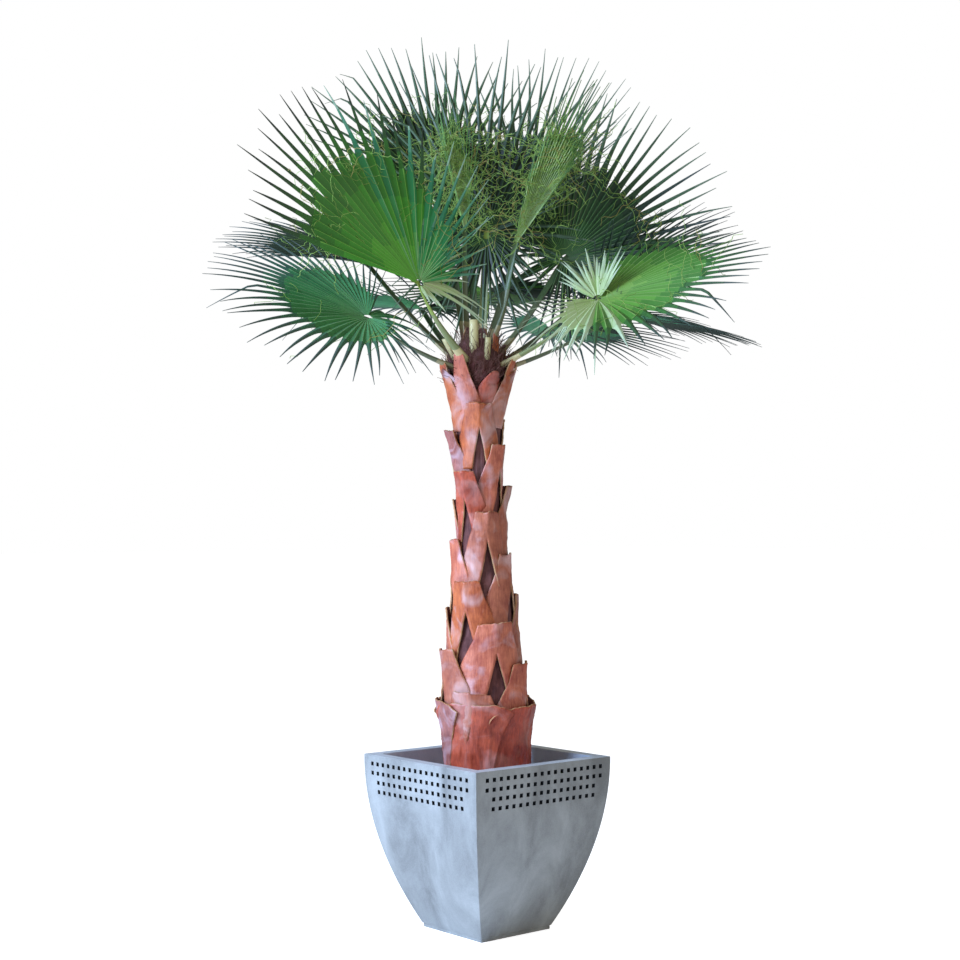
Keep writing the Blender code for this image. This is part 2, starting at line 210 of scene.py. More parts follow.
def ring_skin(work, rings):
    """Joins rings of points into a closed skin, with a cap on its first and last ring."""
    loops = [[work.verts.new(point) for point in ring] for ring in rings]
    for lower, upper in zip(loops, loops[1:]):
        for place in range(len(lower)):
            following = (place + 1) % len(lower)
            work.faces.new((lower[place], lower[following], upper[following], upper[place]))
    work.faces.new(loops[0][::-1])
    work.faces.new(loops[-1])


def mesh_from(name, build, *details, closed=True):
    """A mesh from what build puts in a bmesh. The faces of a closed one are turned outward."""
    work = bmesh.new()
    build(work, *details)
    bmesh.ops.remove_doubles(work, verts=work.verts, dist=0.00001 if closed else 0.00002)
    if closed:
        bmesh.ops.recalc_face_normals(work, faces=work.faces)
    mesh = bpy.data.meshes.new(name)
    work.to_mesh(mesh)
    work.free()
    return mesh


def new_node_group(name, sockets):
    """A Geometry Nodes tree with named inputs: the tree, what it is given and its output node."""
    tree = bpy.data.node_groups.new(name, "GeometryNodeTree")
    tree.interface.new_socket("Geometry", in_out="INPUT", socket_type="NodeSocketGeometry")
    tree.interface.new_socket("Geometry", in_out="OUTPUT", socket_type="NodeSocketGeometry")
    for socket, kind in sockets.items():
        tree.interface.new_socket(socket, in_out="INPUT", socket_type="NodeSocket" + kind)
    return tree, tree.nodes.new("NodeGroupInput").outputs, tree.nodes.new("NodeGroupOutput")


def settle(item):
    """Replaces an object's mesh by the one that its modifiers give."""
    depsgraph = bpy.context.evaluated_depsgraph_get()
    mesh = bpy.data.meshes.new_from_object(item.evaluated_get(depsgraph))
    item.modifiers.clear()
    item.data = mesh


def grown(item, tree, values):
    """Gives an object a Geometry Nodes tree, sets its inputs by identifier and makes it a plain mesh."""
    modifier = item.modifiers.new(tree.name, "NODES")
    modifier.node_group = tree
    for socket in tree.interface.items_tree:
        if socket.item_type == "SOCKET" and socket.in_out == "INPUT" and socket.name in values:
            modifier[socket.identifier] = values[socket.name]
    settle(item)


def seat(piece, slot, *nodes):
    """Puts a piece on the plant's one body, in place of the solids that it dresses. Its slot is not used."""
    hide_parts(*nodes)
    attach(piece, "root")


def tub_finish(name, dark, light, roughness):
    """Satin metallic paint over a moulded tub: cloudy grey, with upright wipe marks and orange peel."""
    material, tree, shader = new_material(name, roughness, Metallic=0.15)
    place = add_node(tree, "ShaderNodeTexCoord").outputs["Object"]
    upright = add_node(tree, "ShaderNodeMapping", {"Vector": place, "Scale": (1.0, 1.0, 0.45)})
    clouds = add_node(tree, "ShaderNodeTexNoise", {
        "Vector": upright, "Scale": 1.0 / PLANTER_CLOUD_SIZE, "Detail": 7.0, "Roughness": 0.62,
        "Distortion": 0.5})
    peel = add_node(tree, "ShaderNodeTexNoise", {
        "Vector": place, "Scale": 1.0 / PLANTER_PEEL_SIZE, "Detail": 2.0})
    blend = add_node(tree, "ShaderNodeMix", {0: 0.15, 2: clouds, 3: peel}, data_type="FLOAT")
    spread = add_node(tree, "ShaderNodeMapRange", {"Value": blend, 1: 0.36, 2: 0.66})
    colour = add_node(tree, "ShaderNodeMix", {0: spread, 6: linear(dark), 7: linear(light)}, data_type="RGBA")
    relief = add_node(tree, "ShaderNodeBump", {
        "Strength": 0.12, "Distance": PLANTER_PEEL_DEPTH, "Height": peel})
    tree.links.new(colour.outputs[2], shader.inputs["Base Color"])
    tree.links.new(relief.outputs["Normal"], shader.inputs["Normal"])
    return material


# The tub's outside is wiped and scuffed. The lip is painted lighter than the faces, a painted highlight where
# the top catches the light; the inside is painted pale and blue, painted light with a painted bluish
# reflection on inner walls that would lie in shade
tub_paint = tub_finish("planter_satin_paint", "#7e7f7c", "#b0b2ae", 0.38)
tub_lip_painted_highlight = tub_finish("planter_lip_paint", "#aab4ba", "#d3dadf", 0.45)
tub_inside_painted_light = tub_finish("planter_inner_paint", "#b5c8d8", "#dce8f2", 0.5)

# A near-black finish on the holes' walls and bottoms: painted shade for the unlit inside of the tub that
# shows through the holes
hole_painted_shade = grained_finish("planter_liner", 0.8, "#1d2226", "#2c3237", HOLE_SHADE_GRAIN)[0]

step_half = planter_half_at(PLANTER_STEP_HEIGHT)
foot_half = step_half - PLANTER_STEP_INSET
lip_half = planter_half - PLANTER_LIP
skin_levels = [(0.0, foot_half), (PLANTER_STEP_HEIGHT, foot_half)]
for level in range(PLANTER_LEVELS + 1):
    height = PLANTER_STEP_HEIGHT + (planter_height - PLANTER_STEP_HEIGHT) * level / PLANTER_LEVELS
    skin_levels.append((height, planter_half_at(height)))
skin_levels += [(planter_height, lip_half), (SOIL_TOP, lip_half), (PLANTER_FLOOR, PLANTER_FLOOR_HALF)]
skin_rings = [[(x * half, y * half, height) for x, y in CORNERS] for height, half in skin_levels]
planter = add_object("planter_tub", mesh_from("planter_tub", ring_skin, skin_rings),
                     [tub_paint, hole_painted_shade, tub_lip_painted_highlight, tub_inside_painted_light])
# Lip faces take the painted-highlight finish, and faces that look inward take the painted-light finish
for face in planter.data.polygons:
    if face.center.z > planter_height - 0.001:
        face.material_index = 2
    elif face.normal.x * face.center.x + face.normal.y * face.center.y < 0.0:
        face.material_index = 3
arris = planter.modifiers.new("arris", "BEVEL")
arris.width = PLANTER_ARRIS
arris.segments = 2
arris.limit_method = "ANGLE"
arris.angle_limit = math.radians(30.0)
settle(planter)

perforations, given, result = new_node_group("square_perforations", {
    "Pitch": "Float", "Row Step": "Float", "Hole Size": "Vector", "Long Row": "Int", "Short Row": "Int",
    "First Row": "Vector", "Third Row": "Vector", "Hole Finish": "Material",
})
hole = add_node(perforations, "GeometryNodeMeshCube", {"Size": given["Hole Size"]})
hole_bands = add_node(perforations, "GeometryNodeJoinGeometry")
for columns, first in (("Long Row", "First Row"), ("Short Row", "Third Row")):
    gaps = add_node(perforations, "ShaderNodeMath", {0: given[columns], 1: 1.0}, operation="SUBTRACT")
    run = add_node(perforations, "ShaderNodeMath", {0: gaps, 1: given["Pitch"]}, operation="MULTIPLY")
    grid = add_node(perforations, "GeometryNodeMeshGrid", {
        "Size X": run, "Size Y": given["Row Step"], "Vertices X": given[columns], "Vertices Y": 2})
    upright = add_node(perforations, "GeometryNodeTransform", {
        "Geometry": grid, "Translation": given[first], "Rotation": (math.radians(90.0), 0.0, 0.0)})
    perforations.links.new(upright.outputs["Geometry"], hole_bands.inputs["Geometry"])
one_face = add_node(perforations, "GeometryNodeInstanceOnPoints", {"Points": hole_bands, "Instance": hole})
all_faces = add_node(perforations, "GeometryNodeJoinGeometry")
for quarter in range(4):
    turned = add_node(perforations, "GeometryNodeTransform", {
        "Geometry": one_face, "Rotation": (0.0, 0.0, math.radians(90.0 * quarter))})
    perforations.links.new(turned.outputs["Geometry"], all_faces.inputs["Geometry"])
cutters = add_node(perforations, "GeometryNodeRealizeInstances", {"Geometry": all_faces})
# The cutters, and so the cut walls of the holes, take the near-black finish of painted shade
cutters_dark = add_node(perforations, "GeometryNodeSetMaterial", {
    "Geometry": cutters, "Material": given["Hole Finish"]})
punched = add_node(perforations, "GeometryNodeMeshBoolean", {
    "Mesh 1": given["Geometry"], "Mesh 2": cutters_dark}, operation="DIFFERENCE", solver="EXACT")
punched_plain = add_node(perforations, "GeometryNodeRealizeInstances", {"Geometry": punched})
hole_walls = add_node(perforations, "GeometryNodeMaterialSelection", {"Material": given["Hole Finish"]})
punched_dark = add_node(perforations, "GeometryNodeSetMaterial", {
    "Geometry": punched_plain, "Selection": hole_walls, "Material": given["Hole Finish"]})
perforations.links.new(punched_dark.outputs["Geometry"], result.inputs["Geometry"])

first_row_middle = planter_height - HOLE_FIRST_ROW - 0.5 * HOLE_ROW_STEP
grown(planter, perforations, {
    "Pitch": HOLE_PITCH, "Row Step": HOLE_ROW_STEP, "Hole Size": (HOLE_SIDE, 2.0 * HOLE_DEPTH, HOLE_SIDE),
    "Long Row": HOLE_LONG_ROW, "Short Row": HOLE_SHORT_ROW,
    "First Row": (0.0, -planter_half, first_row_middle),
    "Third Row": (0.0, -planter_half, first_row_middle - 2.0 * HOLE_ROW_STEP), "Hole Finish": hole_painted_shade,
})
seat(planter, "planter", "planter")


# Soil: peaty potting mix, levelled by hand a hand's width below the lip, under a mulch of pine bark
# chips that were poured on and lie as they fell.
SOIL_CELLS = 70
SOIL_RISE = 0.006
SOIL_WAVES_A_METRE = 22.0
SOIL_SKIRT = 0.05
SOIL_GAP = 0.0006
PEAT_CRUMB = 0.0031
PEAT_DEPTH = 0.002
CHIP_DENSITY = 3400.0
CHIP_SIZE = (0.013, 0.009, 0.0035)


def sheet(work, columns, rows, place, finish=0, smooth=True):
    """A grid of faces over two shares from 0 to 1. Seen from outside, across runs to the right."""
    grid = [[work.verts.new(place(column / columns, row / rows)) for column in range(columns + 1)]
            for row in range(rows + 1)]
    for row in range(rows):
        for column in range(columns):
            face = work.faces.new((grid[row][column], grid[row][column + 1],
                                   grid[row + 1][column + 1], grid[row + 1][column]))
            face.material_index = finish
            face.smooth = smooth
    return grid


def soil_top(work):
    """A rough square sheet of soil with a skirt down the tub's walls, closed underneath."""
    def place(across, share):
        half = lip_half - SOIL_GAP
        spot = Vector((half * (2.0 * across - 1.0), half * (2.0 * share - 1.0), 0.0))
        rise = noise.fractal(spot * SOIL_WAVES_A_METRE, 1.0, 2.0, 4) * SOIL_RISE
        return spot + Vector((0.0, 0.0, SOIL_TOP - SOIL_RISE + rise))

    grid = sheet(work, SOIL_CELLS, SOIL_CELLS, place, smooth=False)
    right_side = [line[-1] for line in grid[1:]]
    left_side = [line[0] for line in grid[-2:0:-1]]
    border = grid[0] + right_side + grid[-1][-2::-1] + left_side
    skirt = [work.verts.new((corner.co.x, corner.co.y, SOIL_TOP - SOIL_SKIRT)) for corner in border]
    for place in range(len(border)):
        following = (place + 1) % len(border)
        work.faces.new((border[place], skirt[place], skirt[following], border[following]))
    work.faces.new(skirt)


# Damp peat: near black-brown, crumbly at 3 mm, with no gloss
peat, peat_tree, peat_shader, peat_crumbs = grained_finish(
    "peat_potting_mix", 0.95, "#241812", "#4a3527", PEAT_CRUMB)
peat_relief = add_node(peat_tree, "ShaderNodeBump", {
    "Strength": 0.6, "Distance": PEAT_DEPTH, "Height": peat_crumbs})
peat_tree.links.new(peat_relief.outputs["Normal"], peat_shader.inputs["Normal"])

soil = add_object("soil_surface", mesh_from("soil_surface", soil_top), [peat])
seat(soil, "soil", "soil")

# Pine bark: flat flakes, red-brown to grey-brown, each of one plain colour
chip_finishes = [new_material("pine_bark_chip_" + shade, 0.85, colour)[0] for shade, colour in
                 (("red", "#6f4430"), ("brown", "#543627"), ("grey", "#7b6353"))]


def mixed_parts(tree, dressed, choices):
    """Gives loose parts other finishes by luck: each finish takes its share of all the parts."""
    number = add_node(tree, "GeometryNodeInputMeshIsland")
    luck = add_node(tree, "FunctionNodeRandomValue", {2: 0.0, 3: 1.0, "ID": number, "Seed": 5},
                    data_type="FLOAT")
    for finish, share in choices:
        chosen = add_node(tree, "FunctionNodeCompare", {0: luck.outputs[1], 1: share}, operation="LESS_THAN")
        dressed = add_node(tree, "GeometryNodeSetMaterial", {
            "Geometry": dressed, "Selection": chosen, "Material": finish})
    return dressed


mulch, given, result = new_node_group("bark_mulch", {
    "Density": "Float", "Chip Size": "Vector", "Seed": "Int",
    "Red": "Material", "Brown": "Material", "Grey": "Material",
})
facing = add_node(mulch, "GeometryNodeInputNormal")
facing_parts = add_node(mulch, "ShaderNodeSeparateXYZ", {"Vector": facing})
upward = add_node(mulch, "FunctionNodeCompare", {0: facing_parts.outputs["Z"], 1: 0.5},
                  operation="GREATER_THAN")
spots = add_node(mulch, "GeometryNodeDistributePointsOnFaces", {
    "Mesh": given["Geometry"], "Selection": upward, "Density": given["Density"], "Seed": given["Seed"]})
flake = add_node(mulch, "GeometryNodeMeshIcoSphere", {"Radius": 1.0, "Subdivisions": 1})
lie = add_node(mulch, "FunctionNodeRandomValue", {0: (-0.5, -0.5, 0.0), 1: (0.5, 0.5, 2.0 * math.pi)},
               data_type="FLOAT_VECTOR")
vary = add_node(mulch, "FunctionNodeRandomValue", {0: (0.6, 0.5, 0.6), 1: (1.5, 1.4, 1.5), "Seed": 3},
                data_type="FLOAT_VECTOR")
flake_size = add_node(mulch, "ShaderNodeVectorMath", {0: vary, 1: given["Chip Size"]}, operation="MULTIPLY")
chips = add_node(mulch, "GeometryNodeInstanceOnPoints", {
    "Points": spots, "Instance": flake, "Rotation": lie, "Scale": flake_size})
chips_plain = add_node(mulch, "GeometryNodeRealizeInstances", {"Geometry": chips})
chips_dressed = add_node(mulch, "GeometryNodeSetMaterial", {
    "Geometry": chips_plain, "Material": given["Red"]})
chips_mixed = mixed_parts(mulch, chips_dressed, ((given["Brown"], 0.65), (given["Grey"], 0.30)))
mulch.links.new(chips_mixed.outputs["Geometry"], result.inputs["Geometry"])

chips_object = add_object("bark_mulch", soil.data.copy(), [])
grown(chips_object, mulch, {"Density": CHIP_DENSITY, "Chip Size": CHIP_SIZE, "Seed": 11,
                            "Red": chip_finishes[0], "Brown": chip_finishes[1], "Grey": chip_finishes[2]})
seat(chips_object, "soil", "soil")


# Trunk: a slim stem wrapped in a dark mat of leaf fibre. The old leaf bases stay on it in a spiral,
# each a stiff red-brown shell that split up the middle as the stem swelled, and was sawn off square.
FRONT = math.radians(-40.5)
STEM_PROFILE = (
    (0.4403, 0.112), (0.49, 0.116), (0.56, 0.124), (0.68, 0.128), (0.80, 0.112), (0.96, 0.096),
    (1.10, 0.082), (1.20, 0.069), (1.30, 0.064), (1.45, 0.066), (1.58, 0.071), (1.66, 0.075), (1.70, 0.078),
)
STEM_LEAN_BEARING = -90.0
STEM_LEAN = 0.030
STEM_LEAN_FROM = 0.49
STEM_LEAN_TO = 1.66
STEM_SIDES = 72
STEM_STEP = 0.008
STEM_RELIEF = 0.0035
BASE_FIRST = -1
BASE_LAST = 21
BASE_TOP = 1.643
BASE_DROP = 0.0427
BASE_TURN = 136.0
BASE_FIRST_BEARING = 5.0
BASE_HEIGHT = 0.205
BASE_GROWTH = 0.003
BASE_LOWEST_FOOT = 0.445
BASE_LOWEST_TOP = 0.690
BASE_STAGGER = 0.0007
BASE_HALF_ANGLES = ((0.0, 74.0), (0.20, 71.0), (0.35, 66.0), (0.62, 46.0), (0.80, 33.0), (1.0, 25.0))
BASE_SPLIT_ANGLE = 20.0
BASE_SPLIT_TOP = 0.62
BASE_SEAT = 0.006
BASE_LEAN_OUT = 0.026
BASE_KEEL = 0.007
BASE_TROUGH = 0.004
BASE_TUCK = 0.010
BASE_THICK = 0.0055
BASE_COLUMNS = 12
BASE_ROWS = 34
BASE_SEED = 4
BASE_FINISHES = (0, 0, 1, 1, 2, 2, 2, 4, 4, 5)
HUSK_RELIEF = 0.0035
HUSK_FURROW = 0.0011
BASE_SAW_MARK = 0.006
HUSK_GRAIN_WIDTH = 0.00417
HUSK_BLOTCH_SIZE = 0.059
HUSK_HIGHLIGHT_PATCH_SIZE = 0.091


def toward(bearing, lift):
    """The unit vector at a bearing and a lift above level, both in degrees."""
    turn = FRONT + math.radians(bearing)
    rise = math.radians(lift)
    return Vector((math.cos(rise) * math.cos(turn), math.cos(rise) * math.sin(turn), math.sin(rise)))


def between(profile, place):
    """The value that a (place, value) profile has at a place."""
    for (low, low_value), (high, high_value) in zip(profile, profile[1:]):
        if place <= high:
            share = max(0.0, (place - low) / (high - low))
            return low_value + share * (high_value - low_value)
    return profile[-1][1]


def stem_centre(height):
    """The stem's middle, which leans a little to one side between its upright ends."""
    share = (height - STEM_LEAN_FROM) / (STEM_LEAN_TO - STEM_LEAN_FROM)
    share = min(max(share, 0.0), 1.0)
    return toward(STEM_LEAN_BEARING, 0) * (STEM_LEAN * share) + Vector((0, 0, height))


def round_rings(profile, step, sides, relief, scale):
    """Rings up a round profile on the stem's line, roughened by noise."""
    low, high = profile[0][0], profile[-1][0]
    count = math.ceil((high - low) / step)
    for level in range(count + 1):
        height = low + (high - low) * level / count
        ring = []
        for side in range(sides):
            way = toward(360.0 * side / sides, 0)
            spot = Vector((way.x * scale[0], way.y * scale[0], height * scale[1]))
            radius = between(profile, height) + relief * noise.fractal(spot, 1.0, 2.0, 4)
            ring.append(stem_centre(height) + way * radius)
        yield ring


def fibrous_finish(name, dark, light, painted_highlight, amount, roughness=0.45):
    """Sun-dried leaf base: grain along the stem in two browns, with pale mauve patches laid on as painted
    highlight for its gloss.
    """
    material, tree, shader = new_material(name, roughness)
    place = add_node(tree, "ShaderNodeTexCoord").outputs["Object"]
    along = add_node(tree, "ShaderNodeMapping", {"Vector": place, "Scale": (1.0, 1.0, 0.10)})
    grain = add_node(tree, "ShaderNodeTexNoise", {
        "Vector": along, "Scale": 1.0 / HUSK_GRAIN_WIDTH, "Detail": 4.0, "Roughness": 0.6, "Distortion": 0.3})
    blotch = add_node(tree, "ShaderNodeTexNoise", {
        "Vector": place, "Scale": 1.0 / HUSK_BLOTCH_SIZE, "Detail": 5.0, "Roughness": 0.62})
    both = add_node(tree, "ShaderNodeMix", {0: 0.6, 2: grain, 3: blotch}, data_type="FLOAT")
    spread = add_node(tree, "ShaderNodeMapRange", {"Value": both, 1: 0.36, 2: 0.64})
    wood = add_node(tree, "ShaderNodeMix", {0: spread, 6: linear(dark), 7: linear(light)}, data_type="RGBA")
    highlight_patches = add_node(tree, "ShaderNodeTexNoise", {
        "Vector": place, "Scale": 1.0 / HUSK_HIGHLIGHT_PATCH_SIZE, "Detail": 3.0, "Distortion": 0.8})
    highlight_share = add_node(tree, "ShaderNodeMapRange", {"Value": highlight_patches, 1: 0.50, 2: 0.68, 4: amount})
    colour = add_node(tree, "ShaderNodeMix", {0: highlight_share, 6: wood.outputs[2], 7: linear(painted_highlight)},
                      data_type="RGBA")
    relief = add_node(tree, "ShaderNodeBump", {"Strength": 0.55, "Distance": 0.0012, "Height": grain})
    tree.links.new(colour.outputs[2], shader.inputs["Base Color"])
    tree.links.new(relief.outputs["Normal"], shader.inputs["Normal"])
    return material


# The mat under the bases is matted brown hair, dull and darkest where it is shaded, with faint pale patches
# of painted highlight
fibre_mat = fibrous_finish("leaf_fibre_mat", "#4a2626", "#7d4a44", "#8a6260", 0.40, 0.85)
stem = add_object("stem_fibre", mesh_from("stem_fibre", ring_skin, list(round_rings(
    STEM_PROFILE, STEM_STEP, STEM_SIDES, STEM_RELIEF, (34.0, 12.0)))), [fibre_mat])
seat(stem, "leaf_bases", "trunk")

# Old leaf bases are a hard husk with a dull gloss, of seven browns and reds, each with pale patches of
# painted highlight
husks = [fibrous_finish("leaf_base_husk_" + shade, dark, light, painted_highlight, amount, 0.42)
         for shade, dark, light, painted_highlight, amount in (
             ("orange", "#9a4328", "#d97845", "#dab4ae", 0.60),
             ("brick", "#863021", "#cc5e3e", "#d0a29a", 0.50),
             ("salmon", "#a04634", "#de8260", "#dcb8ba", 0.60),
             ("umber", "#6e3022", "#ae5c40", "#b48e8c", 0.50),
             ("mauve", "#7c443e", "#b87266", "#d8bcc2", 0.75),
             ("straw", "#8e4433", "#c87656", "#d8b4ae", 0.60),
             ("oxblood", "#862a1c", "#d45c40", "#d49280", 0.45))]
# A sawn or torn edge is paler, dry and open-grained
husk_edge = fibrous_finish("leaf_base_cut_edge", "#a2683f", "#d8ab78", "#d8c0a4", 0.5, 0.75)
husk_inside = fibrous_finish("leaf_base_inner_face", "#4a2620", "#7d4c3e", "#8d6a66", 0.4, 0.7)


def husk_slots():
    """The slots of a husk piece: its outer finishes, then as many for its rim and its inner face."""
    return husks + [husk_edge] * len(husks) + [husk_inside] * len(husks)


def thicken(item, thickness):
    """Gives an open husk sheet its wall, inward from its outer face, and makes it a plain mesh."""
    wall = item.modifiers.new("wall", "SOLIDIFY")
    wall.thickness = thickness
    wall.offset = -1.0
    wall.material_offset = 2 * len(husks)
    wall.material_offset_rim = len(husks)
    settle(item)


def leaf_base(work, number, luck):
    """One old leaf base: two legs that meet above the split in a keel, and lean out to the sawn top."""
    top = max(BASE_TOP - BASE_DROP * number, BASE_LOWEST_TOP + BASE_STAGGER * number)
    foot = max(top - BASE_HEIGHT - BASE_GROWTH * number, BASE_LOWEST_FOOT + BASE_STAGGER * number)
    bearing = BASE_FIRST_BEARING + BASE_TURN * number + luck.uniform(-3.0, 3.0)
    lean_out = BASE_LEAN_OUT + luck.uniform(-0.006, 0.006)
    width = luck.uniform(0.93, 1.05)
    skew = luck.uniform(-0.03, 0.03)
    curl = luck.uniform(0.001, 0.006)
    shift = Vector((luck.uniform(-9, 9), luck.uniform(-9, 9), luck.uniform(-9, 9)))
    finish = luck.choice(BASE_FINISHES) if number else 0

    def leg(side):
        def place(across, share):
            out = across if side > 0 else 1.0 - across
            split = BASE_SPLIT_ANGLE * max(0.0, 1.0 - share / BASE_SPLIT_TOP)
            half = between(BASE_HALF_ANGLES, share) * width
            angle = side * (split + (half - split) * out)
            slant = skew * angle / 60.0 * (share > 0.5) * (share - 0.5) * 2.0
            height = foot + (share + slant) * (top - foot)
            radius = between(STEM_PROFILE, height) + BASE_SEAT + lean_out * share * share
            parted = min(1.0, split / 4.0)
            radius += BASE_KEEL * (1.0 - out) ** 2 * share - BASE_TROUGH * math.sin(math.pi * out) * share
            radius += curl * parted * (1.0 - out) ** 3 - BASE_TUCK * out ** 3 * (1.0 - 0.4 * share)
            spot = toward(bearing + angle, 0) * radius
            rough = noise.fractal(Vector((spot.x, spot.y, 0.45 * height)) * 30.0 + shift, 1.0, 2.0, 3)
            grain = noise.noise(Vector((angle * 1.1, 7.0 * height, 3.0)) + shift)
            spot = toward(bearing + angle, 0) * (radius + HUSK_RELIEF * rough + HUSK_FURROW * grain)
            return stem_centre(height) + spot + Vector((0, 0, BASE_SAW_MARK * rough * (share > 0.97)))
        return place

    for side in (-1, 1):
        sheet(work, BASE_COLUMNS, BASE_ROWS, leg(side), finish)


def all_leaf_bases(work):
    """Every old leaf base up the stem."""
    luck = random.Random(BASE_SEED)
    for number in range(BASE_FIRST, BASE_LAST + 1):
        leaf_base(work, number, luck)


bases = add_object("leaf_bases", mesh_from("leaf_bases", all_leaf_bases, closed=False), husk_slots())
thicken(bases, BASE_THICK)
seat(bases, "leaf_bases", "trunk")


# Foot wrap: the oldest leaf bases, never sawn, are broad sheets that swirl round the foot of the trunk
# down to the soil. They are pressed together, ridged along their veins and flare at their torn tops.
WRAP_FOOT = 0.4405
WRAP_TOP = 0.712
# Each sheet: its bearing, its husk finish and how much higher its top is
WRAP_SHEETS = ((-38.0, 1, 0.0), (44.0, 6, -0.012), (118.0, 3, 0.004), (186.0, 6, -0.006), (256.0, 4, 0.006))
WRAP_HALF_ANGLE = 54.0
WRAP_TWIST = 26.0
WRAP_SEAT = 0.012
WRAP_FLARE = 0.022
WRAP_RIDGE = 0.009
WRAP_VEINS = 7.0
WRAP_VEIN_WIDTH = 0.16
WRAP_OVERLAP = 0.008
WRAP_TEAR = 0.012
WRAP_ROUNDING = 0.030
WRAP_COLUMNS = 56
WRAP_ROWS = 40


def wrap_sheets(work):
    """The broad lowest sheets, each a little proud of the one to its left."""
    for bearing, finish, rise in WRAP_SHEETS:
        shift = Vector((bearing, 0.0, 0.0))

        def place(across, share):
            angle = WRAP_HALF_ANGLE * (2.0 * across - 1.0) + WRAP_TWIST * (share * share - 0.3)
            torn = noise.fractal(Vector((across * 4.0, 0.0, 1.0)) + shift, 1.0, 2.0, 3)
            top = WRAP_TOP + rise + WRAP_TEAR * torn - WRAP_ROUNDING * (2.0 * across - 1.0) ** 4
            height = WRAP_FOOT + (top - WRAP_FOOT) * share
            swirl = noise.noise(Vector((share * 3.0, across * 5.0, 0.0)) + shift)
            phase = across * WRAP_VEINS + 2.2 * share * share + 0.9 * swirl
            vein = max(0.0, 1.0 - abs(phase - round(phase)) / WRAP_VEIN_WIDTH)
            radius = between(STEM_PROFILE, height) + WRAP_SEAT + WRAP_OVERLAP * (across - 0.5)
            radius += WRAP_FLARE * share ** 5 + 0.5 * WRAP_RIDGE * vein * (1.0 - 0.5 * share)
            way = toward(bearing + angle, 0)
            rough = noise.fractal(way * 3.4 + Vector((0, 0, height * 9.0)) + shift, 1.0, 2.0, 4)
            return stem_centre(height) + way * (radius + 0.5 * WRAP_RIDGE * rough)

        sheet(work, WRAP_COLUMNS, WRAP_ROWS, place, finish)


wrap = add_object("foot_wrap", mesh_from("foot_wrap", wrap_sheets, closed=False), husk_slots())
thicken(wrap, BASE_THICK)
seat(wrap, "leaf_bases", "trunk")


# Crown shaft: the growing point, hidden in a dome of coarse brown leaf fibre that has frayed out into
# a fringe of thin dry hairs.
SHAFT_PROFILE = ((1.7003, 0.074), (1.735, 0.090), (1.77, 0.090), (1.81, 0.074), (1.85, 0.040))
SHAFT_SIDES = 56
SHAFT_RELIEF = 0.010
HAIR_DENSITY = 9000.0
HAIR_LENGTH = 0.045
HAIR_RADIUS = 0.0007
HAIR_POINTS = 7
HAIR_CURL = 0.03
HAIR_WAVES_A_METRE = 45.0

dome = add_object("crown_fibre", mesh_from("crown_fibre", ring_skin, list(round_rings(
    SHAFT_PROFILE, 0.006, SHAFT_SIDES, SHAFT_RELIEF, (46.0, 30.0)))), [fibre_mat])
seat(dome, "crown_fibre", "crown_shaft")

# Frayed leaf fibre: thin dry hairs, each of one plain brown
hair_brown = new_material("frayed_leaf_fibre", 0.8, "#6a4436")[0]


def curly_lines(tree, given, starts, ways, longest, waves_a_metre, detail, looseness):
    """Round hairs from starts along ways, up to longest of their length, looser to their ends."""
    end = add_node(tree, "ShaderNodeCombineXYZ", {"Z": given["Length"]})
    line = add_node(tree, "GeometryNodeCurvePrimitiveLine", {"End": end})
    turn = add_node(tree, "FunctionNodeAlignRotationToVector", {"Vector": ways}, axis="Z")
    size = add_node(tree, "FunctionNodeRandomValue", {2: 0.35, 3: longest, "Seed": 2}, data_type="FLOAT")
    lines = add_node(tree, "GeometryNodeInstanceOnPoints", {
        "Points": starts, "Instance": line, "Rotation": turn, "Scale": size.outputs[1]})
    plain = add_node(tree, "GeometryNodeRealizeInstances", {"Geometry": lines})
    fine = add_node(tree, "GeometryNodeResampleCurve", {"Curve": plain, "Count": given["Points"]})
    place = add_node(tree, "GeometryNodeInputPosition")
    waves = add_node(tree, "ShaderNodeTexNoise", {"Vector": place, "Scale": waves_a_metre, "Detail": detail})
    centred = add_node(tree, "ShaderNodeVectorMath", {0: waves.outputs["Color"], 1: (0.5, 0.5, 0.5)},
                       operation="SUBTRACT")
    along = add_node(tree, "GeometryNodeSplineParameter")
    loose = add_node(tree, "ShaderNodeMath", {0: along, 1: looseness}, operation="POWER")
    amount = add_node(tree, "ShaderNodeMath", {0: loose, 1: given["Curl"]}, operation="MULTIPLY")
    offset = add_node(tree, "ShaderNodeVectorMath", {0: centred, "Scale": amount}, operation="SCALE")
    bent = add_node(tree, "GeometryNodeSetPosition", {"Geometry": fine, "Offset": offset})
    section = add_node(tree, "GeometryNodeCurvePrimitiveCircle", {"Resolution": 3, "Radius": given["Radius"]})
    skin = add_node(tree, "GeometryNodeCurveToMesh", {
        "Curve": bent, "Profile Curve": section, "Fill Caps": True})
    real = add_node(tree, "GeometryNodeRealizeInstances", {"Geometry": skin})
    return add_node(tree, "GeometryNodeSetMaterial", {"Geometry": real, "Material": given["Finish"]})


